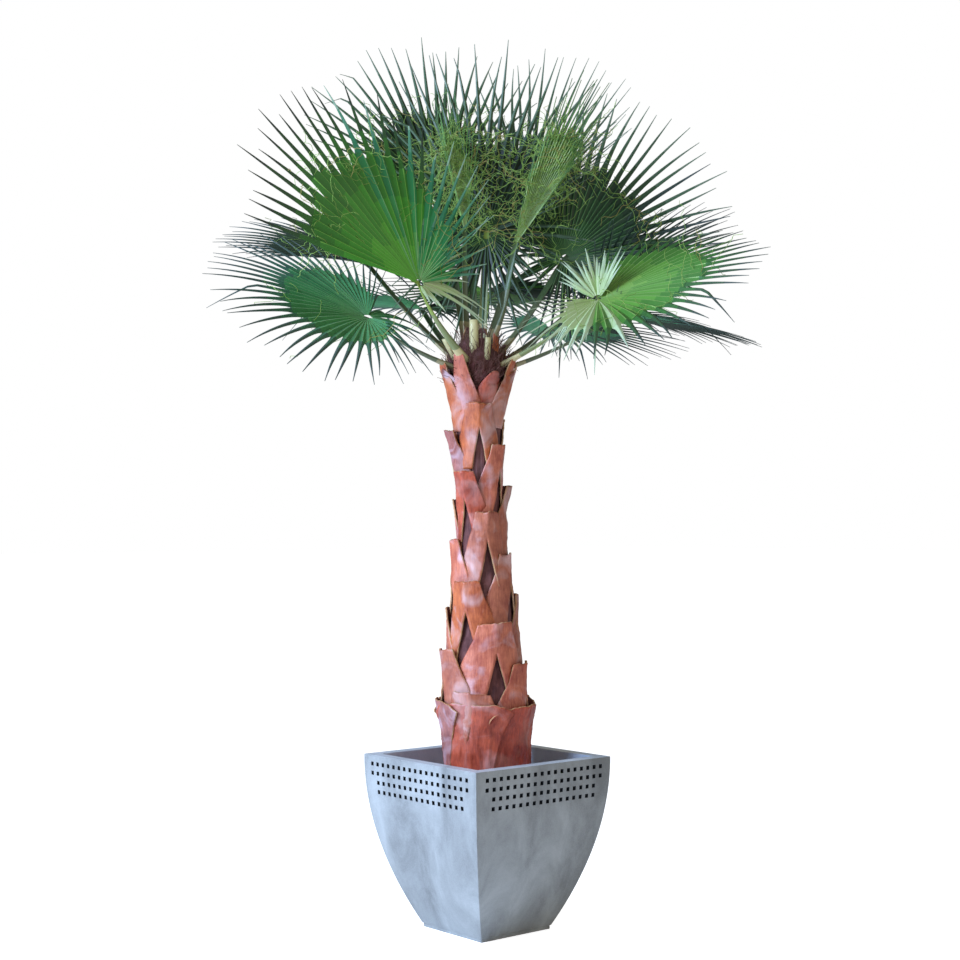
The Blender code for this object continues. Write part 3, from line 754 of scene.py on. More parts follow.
hairs, given, result = new_node_group("frayed_hairs", {
    "Density": "Float", "Length": "Float", "Radius": "Float", "Points": "Int", "Curl": "Float",
    "Seed": "Int", "Finish": "Material",
})
hair_spots = add_node(hairs, "GeometryNodeDistributePointsOnFaces", {
    "Mesh": given["Geometry"], "Density": given["Density"], "Seed": given["Seed"]})
hair_up = add_node(hairs, "ShaderNodeVectorMath", {0: hair_spots.outputs["Normal"], 1: (0.0, 0.0, 1.3)},
                   operation="ADD")
hair_luck = add_node(hairs, "FunctionNodeRandomValue", {0: (-0.7, -0.7, -0.7), 1: (0.7, 0.7, 0.7)},
                     data_type="FLOAT_VECTOR")
hair_way = add_node(hairs, "ShaderNodeVectorMath", {0: hair_up, 1: hair_luck}, operation="ADD")
hair_lines = curly_lines(hairs, given, hair_spots, hair_way, 1.3, HAIR_WAVES_A_METRE, 2.0, 1.0)
hairs.links.new(hair_lines.outputs["Geometry"], result.inputs["Geometry"])

fringe = add_object("crown_fibre_fringe", dome.data.copy(), [])
grown(fringe, hairs, {"Density": HAIR_DENSITY, "Length": HAIR_LENGTH, "Radius": HAIR_RADIUS,
                      "Points": HAIR_POINTS, "Curl": HAIR_CURL, "Seed": 8, "Finish": hair_brown})
seat(fringe, "crown_fibre", "crown_shaft")


# Fans: where each leaf lies. The rows repeat the construction model's: the blade's foot (bearing,
# reach from the axis, height), the way its midrib points and its upper face looks (bearing, lift), the
# midrib's length, the angles to the fan's two sides, the joined share, the dish angle and the droop.
FRONDS = (
    ("frond_01", (-32, 0.38, 1.985), (-60, 28), (34, 34), 0.72, (-28, 120), 0.62, 8, 0.02),
    ("frond_02", (66, 0.375, 1.955), (52, 1), (-6, 53), 0.59, (-114, 114), 0.61, 8, 0.14),
    ("frond_03", (-66, 0.40, 1.90), (-60, 12), (-5, 51), 0.58, (-112, 112), 0.55, 5, 0.16),
    ("frond_04", (118, 0.29, 2.13), (90, 53), (-13, 22), 0.61, (-105, 105), 0.50, 5, 0.02),
    ("frond_05", (-149, 0.293, 2.355), (-125, 68), (20, 25), 0.59, (-95, 95), 0.50, 8, 0.02),
    ("frond_06", (160, 0.36, 2.30), (150, 68), (-30, 20), 0.62, (-90, 90), 0.45, 10, 0.0),
    ("frond_07", (180, 0.10, 2.20), (-172, 83), (0, 8), 0.65, (-80, 80), 0.45, 8, 0.0),
    ("frond_08", (122, 0.42, 2.05), (112, 20), (170, 70), 0.56, (-105, 105), 0.50, 5, 0.10),
    ("frond_09", (-118, 0.44, 2.12), (-124, 24), (20, 66), 0.55, (-110, 110), 0.55, 6, 0.12),
    ("frond_10", (-148, 0.41, 1.99), (-150, 6), (30, 76), 0.57, (-108, 108), 0.50, 6, 0.14),
    ("frond_11", (180, 0.43, 2.06), (182, -4), (0, 80), 0.54, (-110, 110), 0.55, 6, 0.12),
    ("frond_12", (148, 0.40, 1.93), (150, -8), (-10, 78), 0.52, (-108, 108), 0.50, 6, 0.12),
    ("frond_13", (92, 0.40, 1.92), (96, -8), (-60, 78), 0.48, (-108, 108), 0.50, 6, 0.14),
    ("frond_14", (-172, 0.36, 2.20), (-170, 40), (10, 50), 0.56, (-100, 100), 0.50, 8, 0.05),
    ("young_frond_01", (61, 0.103, 2.142), (80, 64), (0, 10), 0.60, (-14, 14), 0.60, 0, 0.0),
    ("young_frond_02", (-120, 0.08, 2.20), (-120, 82), (20, 6), 0.48, (-14, 14), 0.60, 0, 0.0),
)
SIDE_SHORTENING = 0.55
SIDE_FREEING = 0.60
SIDE_FOLD = math.radians(24)


class Fan:
    """Where one fan lies: its foot, its midrib's way and its face's way."""

    def __init__(self, row):
        self.name, foot, rib, face, self.length, self.sides, self.joined, dish, self.droop = row
        bearing, reach, height = foot
        self.foot = toward(bearing, 0) * reach + Vector((0, 0, height))
        self.rib = toward(*rib)
        looks = toward(*face)
        self.face = (looks - self.rib * looks.dot(self.rib)).normalized()
        self.side = self.rib.cross(self.face)
        self.dish = math.radians(dish)
        self.spread = max(-self.sides[0], self.sides[1])
        self.young = self.name.startswith("young")

    def sideness(self, angle):
        """How near an angle is to the fan's sides, from 0 at the midrib to 1."""
        return min(1.0, abs(angle) / self.spread)

    def reach(self, angle):
        """The length of a segment, which is shorter toward the fan's sides."""
        return self.length * (1.0 - SIDE_SHORTENING * self.sideness(angle) ** 3)

    def joined_reach(self, angle):
        """How far out the segments are joined, which is less toward the fan's sides."""
        return self.reach(angle) * self.joined * (1.0 - SIDE_FREEING * self.sideness(angle) ** 4)

    def across(self, angle):
        """The way across the blade, square to the line at an angle."""
        turn = math.radians(angle)
        return self.side * math.cos(turn) - self.rib * math.sin(turn)

    def point(self, angle, distance, aside=0.0, lift=0.0):
        """A place on the blade: along the line at an angle, with a step aside and off the face."""
        turn = math.radians(angle)
        dish = self.dish + SIDE_FOLD * self.sideness(angle) ** 4
        flat = self.rib * math.cos(turn) + self.side * math.sin(turn)
        along = flat * math.cos(dish) + self.face * math.sin(dish)
        sag = Vector((0, 0, self.droop * distance * distance / self.length))
        return self.foot + along * distance + self.across(angle) * aside + self.face * lift - sag


fans = [Fan(row) for row in FRONDS]


# Leaf stalks: tough channelled petioles, widest and palest where they leave the crown, green and slim
# at the blade. Each is seated in its own young leaf base, an orange sheath that clasps the crown, and
# runs on as a tongue under the blade's ribs. A few old stalks were cut back to pale stubs.
STALK_LOWEST = 1.722
STALK_RISE = 0.112
STALK_ROOT = 0.020
STALK_SHAFT_RADIUS = 0.07
STALK_HALF_WIDTHS = (
    (0.0, 0.021), (0.12, 0.019), (0.30, 0.0135), (0.70, 0.0115), (0.93, 0.0105), (1.0, 0.009),
)
STALK_DEPTHS = ((0.0, 0.017), (0.15, 0.014), (0.5, 0.010), (1.0, 0.007))
STALK_CHANNEL = 0.35
STALK_STATIONS = 26
STALK_SIDES = 12
STALK_BOW = 0.012
STALK_ZONES = (0.24, 0.62)
YOUNG_STALK_SHARE = 0.75
TONGUE_LENGTH = 0.05
TONGUE_SINK = 0.006
SHEATH_HALF_ANGLES = ((0.0, 58.0), (0.35, 50.0), (0.7, 30.0), (1.0, 20.0))
SHEATH_DROP = 0.185
SHEATH_COLUMNS = 16
SHEATH_ROWS = 26
SHEATH_THICK = 0.004
SHEATH_TIP_WRAP = 0.052
SHEATH_ROUNDING = 0.018
SHEATH_KEEL = 0.004
SHEATH_RELIEF = 0.0030
SHEATH_GRIP = 0.055
SHEATH_SEED = 12
SHEATH_FINISHES = (0, 0, 2, 1, 3)
# Each old sheath: its bearing, the height of its tip, how far that leans out, and its husk finish
OLD_SHEATHS = (
    (31.0, 1.742, 0.014, 1), (-62.0, 1.750, 0.022, 4), (74.0, 1.745, 0.020, 3), (140.0, 1.750, 0.016, 1),
    (-130.0, 1.745, 0.018, 3),
)
OLD_SHEATH_HEIGHT = 0.15
OLD_SHEATH_ROUNDING = 0.016
OLD_SHEATH_TUCK = 0.006
OLD_SHEATH_HALF_ANGLES = ((0.0, 44.0), (0.45, 40.0), (0.8, 26.0), (1.0, 13.0))
# Each stub: its bearing, the height of its root, its lift, its length and half its width
STUBS = (
    (-58.0, 1.775, 58.0, 0.085, 0.012), (-8.0, 1.790, 86.0, 0.115, 0.016), (24.0, 1.780, 80.0, 0.070, 0.011),
    (150.0, 1.780, 50.0, 0.080, 0.012), (-160.0, 1.775, 55.0, 0.070, 0.012),
)
STUB_DEPTH = 0.011


class Stalk:
    """The line of one leaf stalk, from the crown to the blade's foot and on under the midrib."""

    def __init__(self, fan):
        away = (fan.foot - stem_centre(STALK_LOWEST)).to_2d()
        steepness = math.atan2(fan.foot.z - STALK_LOWEST, abs(away.length - STALK_SHAFT_RADIUS))
        self.height = STALK_LOWEST + STALK_RISE * (steepness / math.radians(90))
        self.out = Vector((away.x, away.y, 0)).normalized()
        shaft = between(SHAFT_PROFILE, self.height)
        self.start = stem_centre(self.height) + self.out * (shaft - STALK_ROOT)
        self.fan = fan
        self.run = (fan.foot - self.start).length

    def spot(self, share):
        """A place on the stalk: share 0 at its root, 1 at the blade's foot, more along the tongue."""
        if share > 1.0:
            extra = (share - 1.0) * self.run
            return self.fan.foot + self.fan.rib * extra - self.fan.face * min(TONGUE_SINK, 0.3 * extra)
        bow = self.upper(share) * (STALK_BOW * math.sin(math.pi * share))
        return self.start.lerp(self.fan.foot, share) - bow

    def upper(self, share):
        """The way that the channelled side looks: to the axis at the root, with the blade's face above."""
        way = (self.fan.foot - self.start).normalized()
        rooted = Vector((0, 0, 1)) - self.out * 0.4
        looks = rooted.lerp(self.fan.face, max(0.0, min(1.0, share)) ** 1.5)
        return (looks - way * looks.dot(way)).normalized()


def channelled_ring(centre, way, upper, half_width, depth):
    """A ring of points round a stalk: round below, hollowed above, with thin margins."""
    beside = way.cross(upper).normalized()
    ring = []
    for side in range(STALK_SIDES):
        turn = 2.0 * math.pi * side / STALK_SIDES
        high = math.sin(turn)
        hollow = -STALK_CHANNEL if high > 0 else 1.0
        ring.append(centre + beside * (half_width * math.cos(turn)) + upper * (depth * high * hollow))
    return ring


def smooth_skin(work, rings, slots):
    """A closed smooth skin over rings. Each face takes the slot of the ring that it is nearest to."""
    had = len(work.faces)
    ring_skin(work, rings)
    work.faces.ensure_lookup_table()
    for face in work.faces[had:]:
        middle = face.calc_center_median()
        nearest = min(range(len(rings)), key=lambda step: (rings[step][0] - middle).length)
        face.smooth = True
        face.material_index = slots[nearest]


def stalk_skin(work, stalk, first_slot):
    """One stalk with its tongue. Its faces take a slot by how far up they are."""
    ending = 1.0 + TONGUE_LENGTH / stalk.run
    shares = [ending * step / STALK_STATIONS for step in range(STALK_STATIONS + 1)]
    rings = []
    for share in shares:
        ahead = stalk.spot(min(share + 0.01, ending)) - stalk.spot(min(share + 0.01, ending) - 0.02)
        beyond = max(0.0, share - 1.0) / (ending - 1.0)
        taper = 1.0 - 0.85 * beyond
        width = between(STALK_HALF_WIDTHS, share) * taper
        depth = between(STALK_DEPTHS, share) * taper
        if stalk.fan.young:
            width *= YOUNG_STALK_SHARE
        rings.append(channelled_ring(stalk.spot(share), ahead.normalized(), stalk.upper(share), width, depth))
    smooth_skin(work, rings, [first_slot + bisect.bisect(STALK_ZONES, share) for share in shares])


def stub_skin(work, bearing, height, lift, length, half_width):
    """An old stalk that was cut back: a short channelled peg with a flat end."""
    out = toward(bearing, 0)
    way = toward(bearing, lift)
    start = stem_centre(height) + out * (between(SHAFT_PROFILE, height) - 1.2 * half_width)
    upper = Vector((0, 0, 1)) - out * 0.4
    upper = (upper - way * upper.dot(way)).normalized()
    rings = [channelled_ring(start + way * (length * step / 5), way, upper,
                             half_width * (1.0 - 0.03 * step), STUB_DEPTH) for step in range(6)]
    smooth_skin(work, rings, [0] * len(rings))


# Living petiole: a waxy smooth skin with a soft gloss, cream at its foot and green above. The stalks of the
# leaves that lie in shade take a duller, darker set, as painted shade
stalk_finishes = [new_material("petiole_" + shade, 0.42, colour)[0] for shade, colour in (
    ("cream", "#d2c48c"), ("olive", "#87905a"), ("yellow_green", "#93a64a"),
    ("dull_straw", "#9a8f66"), ("dull_olive", "#5d6444"), ("dull_green", "#4a5f38"))]
# The stalks that take the lit set; all the others take the painted-shade set
BRIGHT_STALKS = ("frond_01", "frond_02", "frond_07", "frond_11")

stalks = [Stalk(fan) for fan in fans]


def all_stalks(work):
    """Every leaf stalk, and the cut stubs."""
    for stalk in stalks:
        stalk_skin(work, stalk, 0 if stalk.fan.name in BRIGHT_STALKS else 3)
    for stub in STUBS:
        stub_skin(work, *stub)


stalk_piece = add_object("leaf_stalks", mesh_from("leaf_stalks", all_stalks), stalk_finishes)
seat(stalk_piece, "frond", *[fan.name for fan in fans])


def sheath_sheet(work, stalk, luck):
    """The young leaf base of one stalk: it clasps the stem, and narrows to the stalk's foot."""
    foot = stalk.height - SHEATH_DROP - luck.uniform(0.0, 0.03)
    grip = stem_centre(foot) + stalk.out * (between(STEM_PROFILE, foot) + BASE_SEAT)
    ending = stalk.spot(SHEATH_GRIP / stalk.run + luck.uniform(0.0, 0.03))
    control = grip.lerp(ending, 0.55)
    control -= stalk.out * (0.35 * (control - stem_centre(control.z)).dot(stalk.out) - 0.03)
    across_way = Vector((0, 0, 1)).cross(stalk.out)
    foot_radius = between(STEM_PROFILE, foot)
    shift = Vector((luck.uniform(-9, 9), luck.uniform(-9, 9), 0))
    skew = luck.uniform(-0.25, 0.25)
    finish = luck.choice(SHEATH_FINISHES)

    def place(across, share):
        middle = grip * (1 - share) ** 2 + control * (2 * share * (1 - share)) + ending * share ** 2
        turn = math.radians(between(SHEATH_HALF_ANGLES, share)) * (2.0 * across - 1.0)
        wrap = foot_radius * (1.0 - share) + SHEATH_TIP_WRAP * share
        spot = middle + across_way * (wrap * math.sin(turn)) - stalk.out * (wrap * (1.0 - math.cos(turn)))
        spot.z += 0.02 * skew * (2.0 * across - 1.0) * share
        spot.z -= SHEATH_ROUNDING * abs(2.0 * across - 1.0) ** 3 * share
        rough = noise.fractal(spot * 28.0 + shift, 1.0, 2.0, 3)
        keel = SHEATH_KEEL * (1.0 - abs(2.0 * across - 1.0)) * share
        return spot + stalk.out * (SHEATH_RELIEF * rough + keel)

    sheet(work, SHEATH_COLUMNS, SHEATH_ROWS, place, finish)


def old_sheath(work, bearing, top, lean, finish, luck):
    """A leaf base below the crown whose stalk was cut: broad, pointed and leaning out a little."""
    foot = top - OLD_SHEATH_HEIGHT
    shift = Vector((luck.uniform(-9, 9), luck.uniform(-9, 9), 0))

    def place(across, share):
        out = 2.0 * across - 1.0
        height = foot + OLD_SHEATH_HEIGHT * share - OLD_SHEATH_ROUNDING * out * out * share
        angle = between(OLD_SHEATH_HALF_ANGLES, share) * out
        radius = between(STEM_PROFILE + SHAFT_PROFILE, height) + BASE_SEAT + lean * share * share
        spot = toward(bearing + angle, 0) * radius
        rough = noise.fractal(Vector((spot.x, spot.y, 0.45 * height)) * 30.0 + shift, 1.0, 2.0, 3)
        radius += HUSK_RELIEF * rough + BASE_KEEL * (1.0 - abs(out)) * share
        radius -= OLD_SHEATH_TUCK * abs(out) ** 3
        return stem_centre(height) + toward(bearing + angle, 0) * radius

    sheet(work, SHEATH_COLUMNS, SHEATH_ROWS, place, finish)


def all_sheaths(work):
    """The leaf bases of all the leaves, and of the stalks that were cut."""
    luck = random.Random(SHEATH_SEED)
    for stalk in stalks:
        sheath_sheet(work, stalk, luck)
    for bearing, top, lean, finish in OLD_SHEATHS:
        old_sheath(work, bearing, top, lean, finish, luck)


sheaths = add_object("leaf_sheaths", mesh_from("leaf_sheaths", all_sheaths, closed=False), husk_slots())
thicken(sheaths, SHEATH_THICK)
seat(sheaths, "leaf_bases", "crown_shaft")


# Blades: thin leathery fans, pleated at every rib like folded paper. The segments are joined for about
# half their length, part at a notch and run out in stiff narrow points, some of them bent or frayed.
SEGMENT_PITCH = 5.3
YOUNG_PITCH = 1.4
BLADE_THICK = 0.0009
HUB_RADIUS = 0.012
JOINED_STATIONS = 6
FREE_STATIONS = 9
TIP_CROWDING = 1.15
PLEAT_SHARE = 0.30
YOUNG_PLEAT_SHARE = 1.5
PLEAT_MOST = 0.0075
FREE_WIDTH = 0.62
FREE_EASE = 0.07
TIP_TAPER = 0.8
RIB_HALF_WIDTH = 0.0009
TIP_HALF_WIDTH = 0.0007
TIP_SHORTEST = 0.90
SPLIT_JITTER = 0.16
BEND_SPREAD = 0.045
BEND_MOST = 0.12
SAG_MOST = 0.07
KINK_CHANCE = 0.06
SIDE_DRESS_FROM = (0.15, 0.80)
SECOND_SHADE_CHANCE = 0.35

# Each palette is a row of greens from the hub out to the tip, and the rib's. They are living leaf: leathery,
# waxed to a soft gloss, grey-green and dry at the tips. They are also lit and shaded copies of one leaf
# green, chosen for each fan by how it is lit: the bright and fresh ones are painted light, the dull, dark,
# shade, deep and night ones painted shade, and the outer zones of the deep and night ones are lifted lighter
# as painted light where those segments turn from the window. Each fan is dressed in one palette, and toward
# its last side in another
PALETTES = {
    "bright": ("#58b22f", "#449c28", "#3a8726", "#306b22", "#2a4f25", "#2b3b2b", "#7fbf4c"),
    "fresh": ("#76a640", "#5c9433", "#48822c", "#34692a", "#33532f", "#3c4c40", "#9cc06a"),
    "blue": ("#63b55c", "#42a558", "#319353", "#35895f", "#5c9c7a", "#9cc0a4", "#a2d692"),
    "dark": ("#4c8f54", "#3f8550", "#377849", "#345f49", "#3f564d", "#4f5f5b", "#7dae76"),
    "dull": ("#5c9a5e", "#4f915a", "#488953", "#426c52", "#465a50", "#4f5f5b", "#8bb884"),
    "deep": ("#28561f", "#1c4216", "#153512", "#2a4a23", "#426040", "#66795f", "#567f3a"),
    "night": ("#1c3616", "#12280f", "#0d1f0b", "#264020", "#40583a", "#64765e", "#3f6030"),
    "shade": ("#2f4f26", "#233f1f", "#1d351b", "#1f3423", "#2b3d33", "#41504c", "#5d7745"),
    "young": ("#a8c97c", "#8cb660", "#7aa852", "#6c9a4a", "#5f8b45", "#557743", "#c6dc9c"),
    "pale": ("#b4cf82", "#bad38f", "#c0d69a", "#c3d8a4", "#c4d6ac", "#bccaa8", "#dce6b8"),
}
ZONES = 6
JOINED_ZONES = (0.38, 0.72)
FREE_ZONES = (0.28, 0.66)
SHADES = (1.0, 0.84)
# Which palettes dress each fan: chosen by how the fan is lit, so they carry painted light or painted shade,
# and a second palette for its last side
DRESS = {
    "frond_01": ("bright", "blue"), "frond_02": ("fresh", "pale"), "frond_03": ("dull", "dark"),
    "frond_04": ("deep", "shade"), "frond_05": ("deep", "night"), "frond_06": ("night", "deep"),
    "frond_07": ("night", "night"), "frond_08": ("dark", "shade"), "frond_09": ("shade", "dark"),
    "frond_10": ("dark", "shade"), "frond_11": ("fresh", "shade"), "frond_12": ("dark", "shade"),
    "frond_13": ("shade", "dark"), "frond_14": ("deep", "dark"),
    "young_frond_01": ("young", "young"), "young_frond_02": ("young", "young"),
}
leaf_finishes = {}


def palette_materials(palette):
    """The finishes of one palette: for each shade, its zones from the hub out and its rib."""
    for shade_number, shade in enumerate(SHADES):
        for zone, code in enumerate(PALETTES[palette]):
            key = (palette, shade_number, zone)
            if key not in leaf_finishes:
                name = f"leaf_{palette}_{'rib' if zone == ZONES else zone}_{'ab'[shade_number]}"
                material, tree, shader = new_material(name, 0.48, code)
                tone = [channel * shade for channel in linear(code)[:3]]
                shader.inputs["Base Color"].default_value = (*tone, 1.0)
                leaf_finishes[key] = material
    return [leaf_finishes[palette, shade, zone] for shade in range(len(SHADES)) for zone in range(ZONES + 1)]


def leaflet(work, stations, columns_at, zone_at, slot):
    """A strip along stations, from four points across it: two margins and the sides of its rib."""
    rows = [[work.verts.new(point) for point in columns_at(station)] for station in stations]
    for low, high, near, far in zip(rows, rows[1:], stations, stations[1:]):
        zone = zone_at(0.5 * (near + far))
        for column in range(3):
            face = work.faces.new((low[column], low[column + 1], high[column + 1], high[column]))
            face.material_index = slot + (ZONES if column == 1 and zone < 3 else zone)


def fan_segment(work, fan, edges, splits, slot, luck):
    """One segment of a fan: joined to its neighbours as far as the splits on its two sides."""
    left, right = edges
    middle = 0.5 * (left + right)
    slope = math.tan(math.radians(0.5 * (right - left)))
    tip = fan.reach(middle) * luck.uniform(TIP_SHORTEST, 1.0)
    first, last = min(splits), max(splits)
    joined = fan.joined_reach(middle)
    bend = max(-BEND_MOST, min(BEND_MOST, luck.gauss(0.0, BEND_SPREAD)))
    sag = luck.uniform(0.0, SAG_MOST)
    kink = luck.uniform(0.45, 0.85) if luck.random() < KINK_CHANCE else 2.0
    kink_drop = luck.uniform(0.3, 1.0)
    early = luck.uniform(-0.03, 0.03)
    pleat_share = YOUNG_PLEAT_SHARE if fan.young else PLEAT_SHARE

    def columns_at(distance):
        free = max(0.0, (distance - last) / (tip - last))
        loose = (tip - last) * free * free
        shift = fan.across(middle) * (bend * loose) - Vector((0, 0, sag * loose))
        if free > kink:
            shift -= Vector((0, 0, kink_drop * (free - kink) * (tip - last)))
        half = min(distance, joined) * slope
        points = []
        for split, edge, sign in ((splits[0], left, -1.0), (splits[1], right, 1.0)):
            beyond = max(0.0, (distance - split) / (tip - split))
            narrow = FREE_WIDTH + (1.0 - FREE_WIDTH) * math.exp(-beyond / FREE_EASE)
            width = max(half * (max(0.0, 1.0 - beyond) ** TIP_TAPER * narrow), TIP_HALF_WIDTH)
            fold = min(PLEAT_MOST, pleat_share * width)
            if distance <= split:
                margin = fan.point(edge, distance, 0.0, -fold)
            else:
                margin = fan.point(middle, distance, sign * width, -fold)
            rib = fan.point(middle, distance, sign * min(RIB_HALF_WIDTH, 0.3 * width), fold)
            points += [margin + shift, rib + shift]
        return points[0], points[1], points[3], points[2]

    def zone_at(distance):
        if distance < last:
            share = distance / joined + early
            return bisect.bisect(JOINED_ZONES, share)
        share = (distance - last) / (tip - last) + early
        return len(JOINED_ZONES) + 1 + bisect.bisect(FREE_ZONES, share)

    stations = [HUB_RADIUS + (first - HUB_RADIUS) * step / JOINED_STATIONS
                for step in range(JOINED_STATIONS + 1)]
    stations += [last] if last - first > 0.001 else []
    stations += [last + (tip - last) * (step / FREE_STATIONS) ** TIP_CROWDING
                 for step in range(1, FREE_STATIONS + 1)]
    leaflet(work, stations, columns_at, zone_at, slot)


def blade(work, fan, luck, fan_notches):
    """A whole fan. It notes the place of each notch, where threads hang."""
    pitch = YOUNG_PITCH if fan.young else SEGMENT_PITCH
    first, last = fan.sides
    count = round((last - first) / pitch)
    angles = [first + (last - first) * step / count for step in range(count + 1)]
    splits = [fan.joined_reach(angle) * (1.0 + luck.uniform(-SPLIT_JITTER, 0.04)) for angle in angles]
    for step in range(count):
        middle = 0.5 * (angles[step] + angles[step + 1])
        sided = middle > fan.spread * luck.uniform(*SIDE_DRESS_FROM)
        shade = 1 if luck.random() < SECOND_SHADE_CHANCE else 0
        slot = (ZONES + 1) * (shade + (len(SHADES) if sided else 0))
        fan_segment(work, fan, angles[step:step + 2], splits[step:step + 2], slot, luck)
    fan_notches += [fan.point(angle, split) for angle, split in zip(angles, splits)]


def leaf_piece(name, slot, node, palettes, build, *details):
    """A piece of leaf: open strips from build, dressed in palettes and given their thickness."""
    finishes = [material for palette in palettes for material in palette_materials(palette)]
    piece = add_object(name, mesh_from(name, build, *details, closed=False), finishes)
    body = piece.modifiers.new("body", "SOLIDIFY")
    body.thickness = BLADE_THICK
    body.offset = 0.0
    settle(piece)
    seat(piece, slot, node)


notches = {}
for fan in fans:
    notches[fan.name] = []
    leaf_piece(fan.name + "_blade", "young_frond" if fan.young else "frond", fan.name, DRESS[fan.name],
               blade, fan, random.Random(fan.name), notches[fan.name])


# Hub leaflets: the lowest segments of a fan are short and free, and stand up round the hub like a star.
# They are the same pleated leaf, and grow from the same point of the stalk.
# Each row: fan, palette, first and last angle, how many, shortest and longest, rise and droop
HUB_LEAFLETS = (
    ("frond_01", "blue", 70, 138, 11, 0.20, 0.34, 0.25, 0.10),
    ("frond_01", "pale", 112, 168, 9, 0.16, 0.28, 0.10, 0.25),
    ("frond_01", "pale", -175, -120, 4, 0.06, 0.12, 0.20, 0.20),
    ("frond_02", "pale", -176, -40, 18, 0.12, 0.19, 0.90, 0.10),
    ("frond_02", "pale", 60, 178, 13, 0.07, 0.15, 0.25, 1.10),
    ("frond_03", "dark", 100, 170, 7, 0.12, 0.26, 0.20, 0.50),
    ("frond_03", "dark", -170, -100, 7, 0.12, 0.24, 0.30, 0.40),
    ("frond_04", "deep", -165, -95, 8, 0.12, 0.26, 0.30, 0.30),
    ("frond_04", "shade", 95, 165, 8, 0.12, 0.28, 0.20, 0.60),
    ("frond_05", "night", 90, 160, 8, 0.14, 0.32, 0.10, 0.40),
    ("frond_06", "night", -160, -85, 8, 0.14, 0.32, 0.10, 0.40),
    ("frond_07", "night", 74, 176, 14, 0.14, 0.34, 0.10, 0.25),
    ("frond_07", "night", -176, -74, 14, 0.14, 0.34, 0.10, 0.25),
    ("frond_08", "shade", 100, 165, 6, 0.12, 0.24, 0.20, 0.50),
    ("frond_09", "shade", 100, 165, 6, 0.12, 0.24, 0.20, 0.50),
    ("frond_10", "shade", 100, 170, 7, 0.14, 0.30, 0.10, 0.40),
    ("frond_11", "shade", 100, 170, 7, 0.14, 0.30, 0.10, 0.40),
    ("frond_14", "deep", -165, -95, 8, 0.14, 0.32, 0.10, 0.40),
    ("frond_14", "night", 95, 165, 8, 0.14, 0.32, 0.10, 0.40),
)
HUB_LEAFLET_WIDTH = 0.0105
HUB_LEAFLET_TIP = 0.0006
HUB_LEAFLET_STATIONS = 8
HUB_LEAFLET_ROOT = 0.016
HUB_LEAFLET_PLEAT = 0.35


def hub_leaflet(work, fan, angle, length, rise, droop, slot):
    """One short free segment at the hub, widest a third of the way out."""
    turn = math.radians(angle)
    across = fan.across(angle)
    way = (fan.rib * math.cos(turn) + fan.side * math.sin(turn) + fan.face * rise).normalized()
    normal = across.cross(way)

    def columns_at(share):
        sag = Vector((0, 0, droop * length * share * share))
        middle = fan.foot + way * (HUB_LEAFLET_ROOT + length * share) - sag
        swell = min(1.0, 0.30 + 2.3 * share) * max(0.0, 1.0 - share) ** 0.75
        half = max(HUB_LEAFLET_TIP, HUB_LEAFLET_WIDTH * swell)
        fold = normal * (HUB_LEAFLET_PLEAT * half)
        rib = min(RIB_HALF_WIDTH, 0.3 * half)
        return [middle + across * aside + fold * up for aside, up in
                ((-half, -1.0), (-rib, 1.0), (rib, 1.0), (half, -1.0))]

    def zone_at(share):
        return min(ZONES - 1, int(share * ZONES))

    stations = [step / HUB_LEAFLET_STATIONS for step in range(HUB_LEAFLET_STATIONS + 1)]
    leaflet(work, stations, columns_at, zone_at, slot)


def hub_leaflets(work, fan, rows, luck):
    """All the short free segments of one fan."""
    for number, (name, palette, first, last, count, shortest, longest, rise, droop) in enumerate(rows):
        for step in range(count):
            angle = first + (last - first) * (step + luck.uniform(-0.3, 0.3)) / (count - 1)
            slot = (ZONES + 1) * (number * len(SHADES) + luck.randrange(len(SHADES)))
            hub_leaflet(work, fan, angle, luck.uniform(shortest, longest), rise * luck.uniform(0.7, 1.3),
                        droop * luck.uniform(0.5, 1.5), slot)


for fan in fans:
    rows = [row for row in HUB_LEAFLETS if row[0] == fan.name]
    if rows:
        leaf_piece(fan.name + "_hub", "frond", fan.name, [row[1] for row in rows],
                   hub_leaflets, fan, rows, random.Random(fan.name + "hub"))


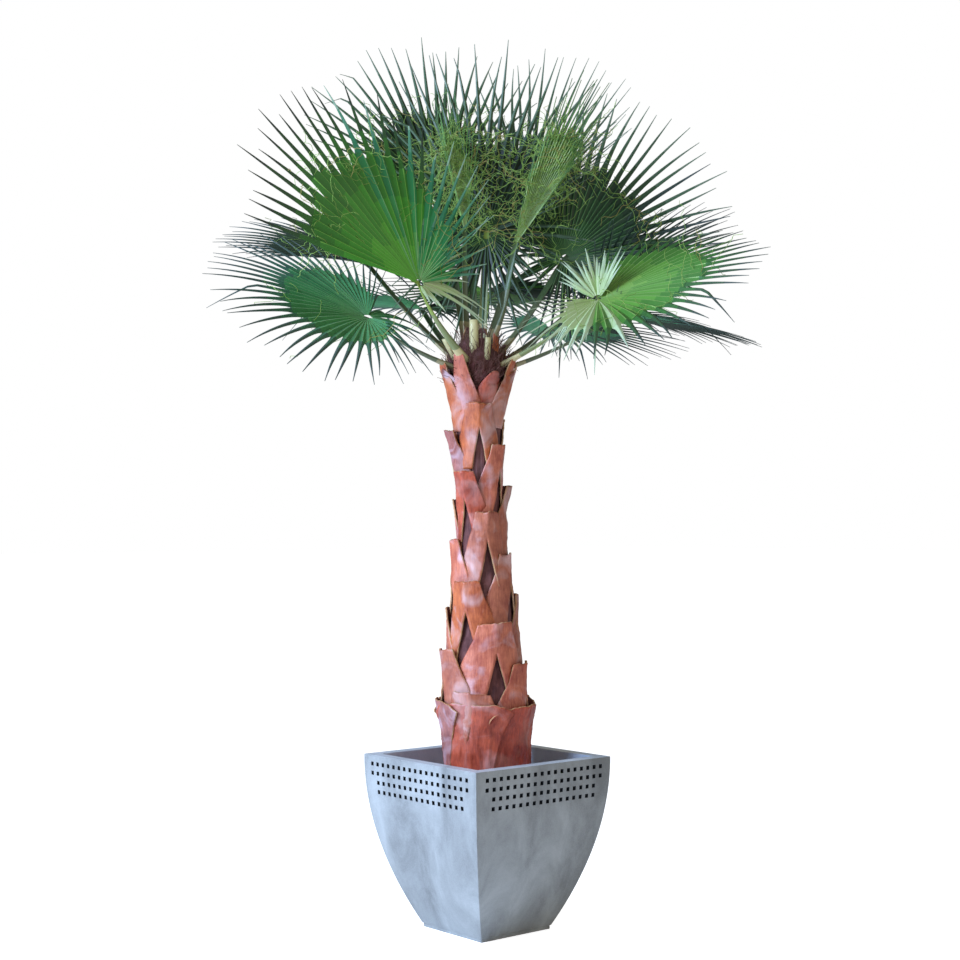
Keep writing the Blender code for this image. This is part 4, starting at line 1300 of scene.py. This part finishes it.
# Threads: the curly fibres that the segments part from. They hang from the notches and wind through the
# crown's middle, thickest on the youngest leaves. Each is a thin hair, yellow-green or dry. The shares
# say how many hang from each notch.
THREAD_SHARES = {
    "frond_01": 4.0, "frond_02": 1.0, "frond_03": 0.6, "frond_04": 2.6, "frond_05": 3.0, "frond_06": 2.0,
    "frond_07": 9.0, "frond_09": 0.5, "frond_14": 3.0, "young_frond_01": 12.0, "young_frond_02": 12.0,
}
THREAD_LENGTH = 0.12
THREAD_RADIUS = 0.0009
THREAD_POINTS = 14
THREAD_CURL = 0.09
THREAD_WAVES_A_METRE = 24.0
THREAD_LOOSENESS = 0.5
THREAD_SCATTER = 0.03
DRY_THREADS = 0.16
thread_green = new_material("leaf_thread_fresh", 0.7, "#8fae50")[0]
thread_dry = new_material("leaf_thread_dry", 0.8, "#a79a52")[0]

threads, given, result = new_node_group("leaf_threads", {
    "Length": "Float", "Radius": "Float", "Points": "Int", "Curl": "Float", "Seed": "Int",
    "Finish": "Material", "Dry Share": "Float", "Dry Finish": "Material",
})
thread_spots = add_node(threads, "GeometryNodeMeshToPoints", {"Mesh": given["Geometry"]})
thread_way = add_node(threads, "FunctionNodeRandomValue", {
    0: (-1.0, -1.0, -1.0), 1: (1.0, 1.0, 1.0), "Seed": given["Seed"]}, data_type="FLOAT_VECTOR")
thread_lines = curly_lines(threads, given, thread_spots, thread_way, 1.5, THREAD_WAVES_A_METRE, 1.0,
                           THREAD_LOOSENESS)
thread_mixed = mixed_parts(threads, thread_lines, ((given["Dry Finish"], given["Dry Share"]),))
threads.links.new(thread_mixed.outputs["Geometry"], result.inputs["Geometry"])

luck = random.Random(31)
thread_starts = []
for name, share in THREAD_SHARES.items():
    for spot in notches[name]:
        for number in range(int(share + luck.random())):
            scatter = Vector([luck.gauss(0.0, THREAD_SCATTER) for axis in range(3)])
            thread_starts.append(spot + scatter * min(1.0, number))
thread_seeds = bpy.data.meshes.new("leaf_threads")
thread_seeds.from_pydata(thread_starts, [], [])
thread_piece = add_object("leaf_threads", thread_seeds, [])
grown(thread_piece, threads, {
    "Length": THREAD_LENGTH, "Radius": THREAD_RADIUS, "Points": THREAD_POINTS, "Curl": THREAD_CURL,
    "Seed": 8, "Finish": thread_green, "Dry Share": DRY_THREADS, "Dry Finish": thread_dry,
})
seat(thread_piece, "frond", "frond_01", "frond_07", "young_frond_01")
